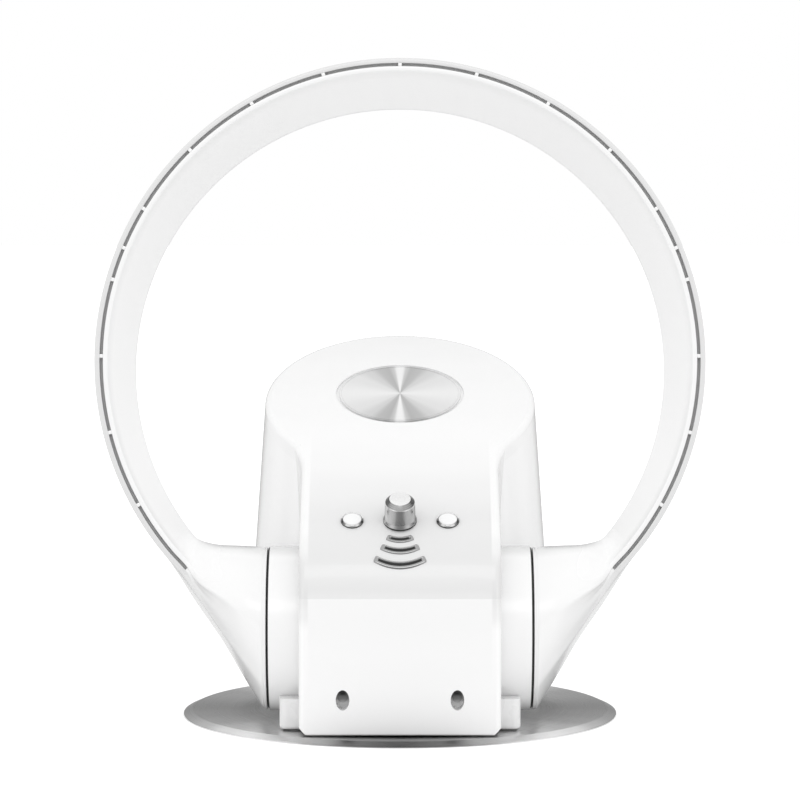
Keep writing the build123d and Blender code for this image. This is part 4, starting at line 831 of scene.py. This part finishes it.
# %% The other half
other_half = air_hoop.modifiers.new("other half", "MIRROR")
other_half.use_clip = True
other_half.merge_threshold = 0.01 * mm
finer = air_hoop.modifiers.new("finer", "SUBSURF")
finer.levels = 1
finer.render_levels = 2
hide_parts("hoop_outer_shell", "hoop_inner_shell", "arm_left", "arm_right")
print("hoop modifiers", [modifier.name for modifier in air_hoop.modifiers])

# %% [markdown]
# ## Turned pieces
# The plate, badge, knob, button caps and their trim rings are all round. On the real fan they
# are turned or pressed, so each is an outline swept round an axis, with its corners broken by
# small radii that catch the light. The outline is a short list of corners in millimetres; the
# rounding is worked out. A bevel modifier could round them too, but it can't tell a crisp
# corner from a soft one as easily as a radius written beside each corner.

# %% Rounded outlines
most_of_edge = 0.48  # a rounding takes no more than this share of the edges beside it


def rounded(corners, steps=4):
    """Outline with each corner (radius, height, rounding) replaced by a small arc, in mm."""
    outline = []
    for i, (x, y, rounding) in enumerate(corners):
        here = Vector((x, y))
        if rounding == 0:
            outline.append(here)
            continue
        before = Vector(corners[i - 1][:2]) - here
        after = Vector(corners[(i + 1) % len(corners)][:2]) - here
        half = before.angle(after) / 2
        reach = min(rounding / tan(half), most_of_edge * before.length, most_of_edge * after.length)
        start, end = here + before.normalized() * reach, here + after.normalized() * reach
        for step in range(steps + 1):
            t = step / steps
            outline.append(start * (1 - t) ** 2 + here * 2 * t * (1 - t) + end * t ** 2)
    return outline


# %% Turned pieces
same_point, no_length = 0.002 * mm, 0.001 * mm


def facing(point, direction):
    """Matrix of a piece whose own Z lies along a direction, and whose X stays level."""
    z = Vector(direction).normalized()
    x = (across - z * across.dot(z)).normalized()
    y = z.cross(x)
    return Matrix.Translation(point) @ Matrix((x, y, z)).transposed().to_4x4()


def tidy_mesh(mesh):
    """Join points that lie on the axis, drop empty faces and turn every face outwards."""
    work = bmesh.new()
    work.from_mesh(mesh)
    bmesh.ops.remove_doubles(work, verts=work.verts, dist=same_point)
    bmesh.ops.dissolve_degenerate(work, edges=work.edges, dist=no_length)
    bmesh.ops.recalc_face_normals(work, faces=work.faces)
    work.to_mesh(mesh)
    work.free()


def turned_points(outline, sides):
    """Points of an outline in mm, swept round the Z axis."""
    turns = [2 * pi * side / sides for side in range(sides)]
    return [(spot.x * mm * cos(turn), spot.x * mm * sin(turn), spot.y * mm) for turn in turns
            for spot in outline]


def turned_piece(name, corners, place, body, slot, sides=128, finish=None):
    """A turned piece from its corners, standing on a place, riding on a body."""
    outline = rounded(corners)
    piece = make_piece(name, turned_points(outline, sides), ring_faces(sides, len(outline), closed=True),
                       body, slot, finish)
    tidy_mesh(piece.data)
    piece.matrix_world = place
    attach(piece, body)
    return piece


# %% [markdown]
# ## Stand plate
# The plate is a round steel or zinc disc, turned, with a wide bevel that runs down to the
# edge. The bevel catches a bright band all round, so its two corners are rounded only a little.
# Below, a groove takes the rubber foot ring. One outline holds all of it, so nothing is cut.

# %% Stand plate
plate_low, plate_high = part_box("base_plate")
plate_radius = plate_high.x / mm
plate_bottom, plate_top = plate_low.z / mm, plate_high.z / mm
plate_bevel, plate_bevel_fall = 5.6, 2.5
plate_hole = 8.0
foot_inside, foot_outside = 118.0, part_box("foot_ring")[1].x / mm
foot_groove = plate_bottom + 1.0
plate_corners = ((plate_hole, plate_bottom, 0), (foot_inside, plate_bottom, 0.1),
                 (foot_inside, foot_groove, 0.1), (foot_outside, foot_groove, 0.1),
                 (foot_outside, plate_bottom, 0.1), (plate_radius, plate_bottom, 0.15),
                 (plate_radius, plate_top - plate_bevel_fall, 0.5),
                 (plate_radius - plate_bevel, plate_top, 0.9), (plate_hole, plate_top, 0))
stand_plate = turned_piece("stand_plate", plate_corners, Matrix.Identity(4), "stand", "plate_metal",
                           sides=192)
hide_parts("base_plate")

# %% [markdown]
# ## Badge
# A thin spun disc sits in a shallow round recess on top, square to the sloping plateau. A fine
# groove near its rim gives the dark line that frames the bright sectors. The groove is cut in
# the outline itself, because a line painted on would not catch the light on one side.

# %% Badge
plateau_slope = radians(22.3)
plateau_up = Vector((0, -sin(plateau_slope), cos(plateau_slope)))
badge_low, badge_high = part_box("badge_disc")
badge_middle = (badge_low + badge_high) / 2
badge_thickness = 1.6
badge_radius = (badge_high.x - badge_low.x) / 2 / mm
badge_place = facing(badge_middle - plateau_up * badge_thickness / 2 * mm, plateau_up)
groove_floor = badge_thickness - 0.35
badge_corners = ((0, 0, 0), (badge_radius, 0, 0.1), (badge_radius, badge_thickness - 0.1, 0.3),
                 (badge_radius - 0.9, badge_thickness, 0.2), (badge_radius - 1.0, groove_floor, 0.05),
                 (badge_radius - 1.35, groove_floor, 0.05), (badge_radius - 1.5, badge_thickness, 0.15),
                 (0, badge_thickness, 0))
badge = turned_piece("badge_plate", badge_corners, badge_place, "body", "badge_metal")
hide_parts("badge_disc")

# %% [markdown]
# ## Speed knob
# The knob flares at its foot and has a sloping shoulder round a flat top. It is turned from
# bar, so the shoulder's two edges are broken just enough to draw a bright line. The shoulder
# shows the dark side of the room as a painted reflection, in tones round its axis, and the edge
# below it has none, so it mirrors a lamp. One finish can't be both, so each band of faces gets
# its own. A thin black ring under the foot is a painted shadow that parts it from the white cover.

# %% Bands of faces
def paint_band(piece, low, high, finish):
    """Give the faces between two heights, in mm, a finish of their own."""
    piece.data.materials.append(finishes[finish])
    for face in piece.data.polygons:
        if low < face.center.z / mm < high:
            face.material_index = len(piece.data.materials) - 1


# %% Speed knob
knob_joint = next(joint for joint in frame["joints"] if joint["name"] == "knob_turn")
control_place = facing(Vector(knob_joint["pos_m"]), Vector(knob_joint["axis"]))
shoulder_low, shoulder_high, edge_low = 15.5, 18.0, 14.85
knob_corners = ((0, 1.6, 0), (8.2, 1.6, 0.2), (8.6, 0.9, 0.2), (10.7, 0.9, 0.25), (10.9, 1.3, 0.3),
                (9.95, 3.3, 2.5), (9.65, 15.2, 0.6), (6.85, 18.05, 0.25), (0, 18.2, 0))
knob = turned_piece("knob_shell", knob_corners, control_place, "knob", "knob_metal", sides=96)
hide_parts("speed_knob")
paint_band(knob, shoulder_low, shoulder_high, "knob_shoulder")
paint_band(knob, edge_low, shoulder_low, "knob_edge")
# painted shadow: a thin black ring under the knob's foot
shadow_ring_corners = ((7.0, 0.05, 0), (10.8, 0.05, 0.1), (10.8, 0.92, 0.1), (7.0, 0.92, 0))
turned_piece("knob_shadow_ring", shadow_ring_corners, control_place, "knob", "rubber", sides=96)

# %% [markdown]
# ## Push buttons
# Each button is a white, slightly domed cap in a polished ring. The ring is a rounded lip,
# higher than the cap's edge. Its thin dark crescent is a painted reflection of the dark side of
# the room, in tones round its axis. Its foot, where it stands in the cover, is painted black as a
# painted shadow, which draws the line round the ring. Cap and ring are two pieces, because the
# cap goes down when it is pressed and the ring stays.

# %% Push buttons
button_aside = 30.9 * mm
cap_corners = ((0, -3.0, 0), (6.0, -3.0, 0.2), (6.05, 1.7, 0.55), (4.6, 2.35, 1.5), (2.4, 2.55, 1.5),
               (0, 2.6, 0))
for side, body in ((-1, "button_left"), (1, "button_right")):
    cap_place = control_place @ Matrix.Translation((side * button_aside, 0, 0))
    cap = turned_piece(body + "_cap", cap_corners, cap_place, body, "white_gloss", sides=64)
    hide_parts(body)

# %% Button rims
# painted shadow: the ring's foot is painted black where it stands in the cover
rim_shadow_low, rim_shadow_high = -3.0, 0.6
rim_corners = ((6.25, -2.5, 0), (7.45, -2.5, 0), (7.45, 0.6, 0), (7.4, 1.0, 0.2), (7.2, 1.7, 0.6),
               (6.55, 1.9, 0.4), (6.25, 1.2, 0.3))
for side, name in ((-1, "button_rim_left"), (1, "button_rim_right")):
    rim_place = control_place @ Matrix.Translation((side * button_aside, 0, 0))
    rim = turned_piece(name, rim_corners, rim_place, "body", "chrome_trim", sides=96, finish="rim_chrome")
    paint_band(rim, rim_shadow_low, rim_shadow_high, "black_plastic")
    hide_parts("button_bezels")

# %% [markdown]
# ## Indicator arcs
# Three dark lenses in polished frames fan out below the knob, on the part of the cover that
# curves down to the front. Each frame is one closed ring of metal: a small rounded section
# carried along both sides of the arc and round its ends, laid onto the curved cover. The
# window is shorter than the frame and lies off its middle, so the lip is wider at the ends and
# on the lower side. Working it out point by point keeps the lip on the cover's curve, which a
# curve object with a bevel profile would not.

# %% Arcs on the curved cover
arc_radii = (17.0, 25.0, 34.0)
arc_reach = radians(28)
end_cover = 0.5  # how far the rounded ends run past the pocket's square ones, mm
cover_bend = 64.9


def on_cover(x, y, height):
    """Point over the curved cover, from its place in the control plane, in mm."""
    drop = sqrt(cover_bend ** 2 - y ** 2) - cover_bend
    lean = y / cover_bend
    return (x * mm, (y + height * lean) * mm, (drop + height * sqrt(1 - lean ** 2)) * mm)


def arc_loop(radius, half_width, trim=0.0, steps=26, end_steps=10):
    """Closed loop round an arc: places in the control plane, outward directions, and side.

    The side is 1 along the arc's outer edge and 0 along its inner edge. The ends are rounded
    squares, so they cover the square pocket in the cover; the trim shortens each end, in mm."""
    turn = arc_reach - (half_width - end_cover + trim) / radius
    loop = [(-turn + 2 * turn * step / steps, 0) for step in range(steps + 1)]
    loop += [(turn, pi * step / end_steps) for step in range(1, end_steps)]
    loop += [(turn - 2 * turn * step / steps, pi) for step in range(steps + 1)]
    loop += [(-turn, pi + pi * step / end_steps) for step in range(1, end_steps)]
    places = []
    for angle, lean in loop:
        reach = (abs(cos(lean)) ** 4 + abs(sin(lean)) ** 4) ** -0.25
        direction = (sin(angle + lean) * reach, -cos(angle + lean) * reach)
        places.append(((radius * sin(angle), -radius * cos(angle)), direction, (1 + cos(lean)) / 2))
    return places


# %% Frames and lenses
# across the frame from its inner lip (0) to its outer edge (1), and its height, mm
frame_section = ((0, -1.2), (1, -1.2), (1, 0.2), (0.93, 0.48), (0.8, 0.66), (0.5, 0.68), (0.22, 0.5),
                 (0.08, 0.1), (0, -0.25))
frame_edge = 2.2
inner_lip, outer_lip, end_trim = 1.0, -0.1, 1.3
lens_low, lens_high, lens_under_lip = -1.0, 0.0, 0.15
frame_points, frame_faces, lens_points, lens_faces = [], [], [], []
for radius in arc_radii:
    loop = arc_loop(radius, frame_edge)
    window = []
    for (x, y), (dx, dy), side in arc_loop(radius, frame_edge, end_trim):
        lip = inner_lip + (outer_lip - inner_lip) * side
        window.append((x + dx * lip, y + dy * lip, dx, dy))
    frame_faces += ring_faces(len(loop), len(frame_section), len(frame_points), closed=True)
    for ((x, y), (dx, dy), side), (inner_x, inner_y, _, _) in zip(loop, window):
        x, y = x + dx * frame_edge, y + dy * frame_edge
        for share, height in frame_section:
            frame_points.append(on_cover(inner_x + (x - inner_x) * share,
                                         inner_y + (y - inner_y) * share, height))
    start = len(lens_points)
    for height in (lens_low, lens_high):
        for x, y, dx, dy in window:
            lens_points.append(on_cover(x + dx * lens_under_lip, y + dy * lens_under_lip, height))
    lens_faces.append(tuple(range(start + len(loop), start + 2 * len(loop))))
    lens_faces.append(tuple(range(start + len(loop) - 1, start - 1, -1)))
    for i in range(len(loop)):
        beside = (i + 1) % len(loop)
        lens_faces.append((start + i, start + beside, start + len(loop) + beside, start + len(loop) + i))

# %% Indicator arcs
frames = make_piece("arc_frames", frame_points, frame_faces, "body", "chrome_trim")
lenses = make_piece("arc_lenses", lens_points, lens_faces, "body", "dark_lens")
for piece, node in ((frames, "indicator_bezels"), (lenses, "indicator_windows")):
    tidy_mesh(piece.data)
    piece.matrix_world = control_place
    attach(piece, "body")
    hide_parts(node)
split = lenses.modifiers.new("crisp", "EDGE_SPLIT")
split.split_angle = radians(40)

# %% [markdown]
# ## Ribs in the air slot
# The slot is not open all the way: short ribs tie its two lips together so that they can't
# spread. They break the dark line into the dashes seen from the front. Each is a small block
# between two angles of the hoop, so it follows the slot, and a bevel softens it.

# %% Slot ribs
rib_angles = (0.5, 15.5, 22.0, 30.5, 45.0, 60.0, 75.0, 90.0, -14.4, -29.4)
rib_half = 1.2  # mm
rib_span = (194.9, 197.1)  # across the slot, as radii, mm
rib_levels = (24.5, 30.35)  # from inside the slot to just behind its lips, mm
slot_radius = 196  # mm
along = degrees(rib_half / slot_radius)
points, faces = [], []
for angle in sorted({value for rib in rib_angles for value in (rib, 180 - rib)}):
    start = len(points)
    for turn in (angle - along, angle + along):
        for radius in rib_span:
            for forward in rib_levels:
                points.append(on_hoop(turn, radius, forward))
    faces += [tuple(start + i for i in face) for face in
              ((0, 1, 3, 2), (4, 6, 7, 5), (0, 4, 5, 1), (2, 3, 7, 6), (1, 5, 7, 3), (0, 2, 6, 4))]
ribs = make_piece("slot_ribs", points, faces, "hoop", "hoop_gloss")
tidy_mesh(ribs.data)
softened = ribs.modifiers.new("softened", "BEVEL")
softened.width = 0.2 * mm
softened.segments = 2
print("ribs", len(points) // 8)
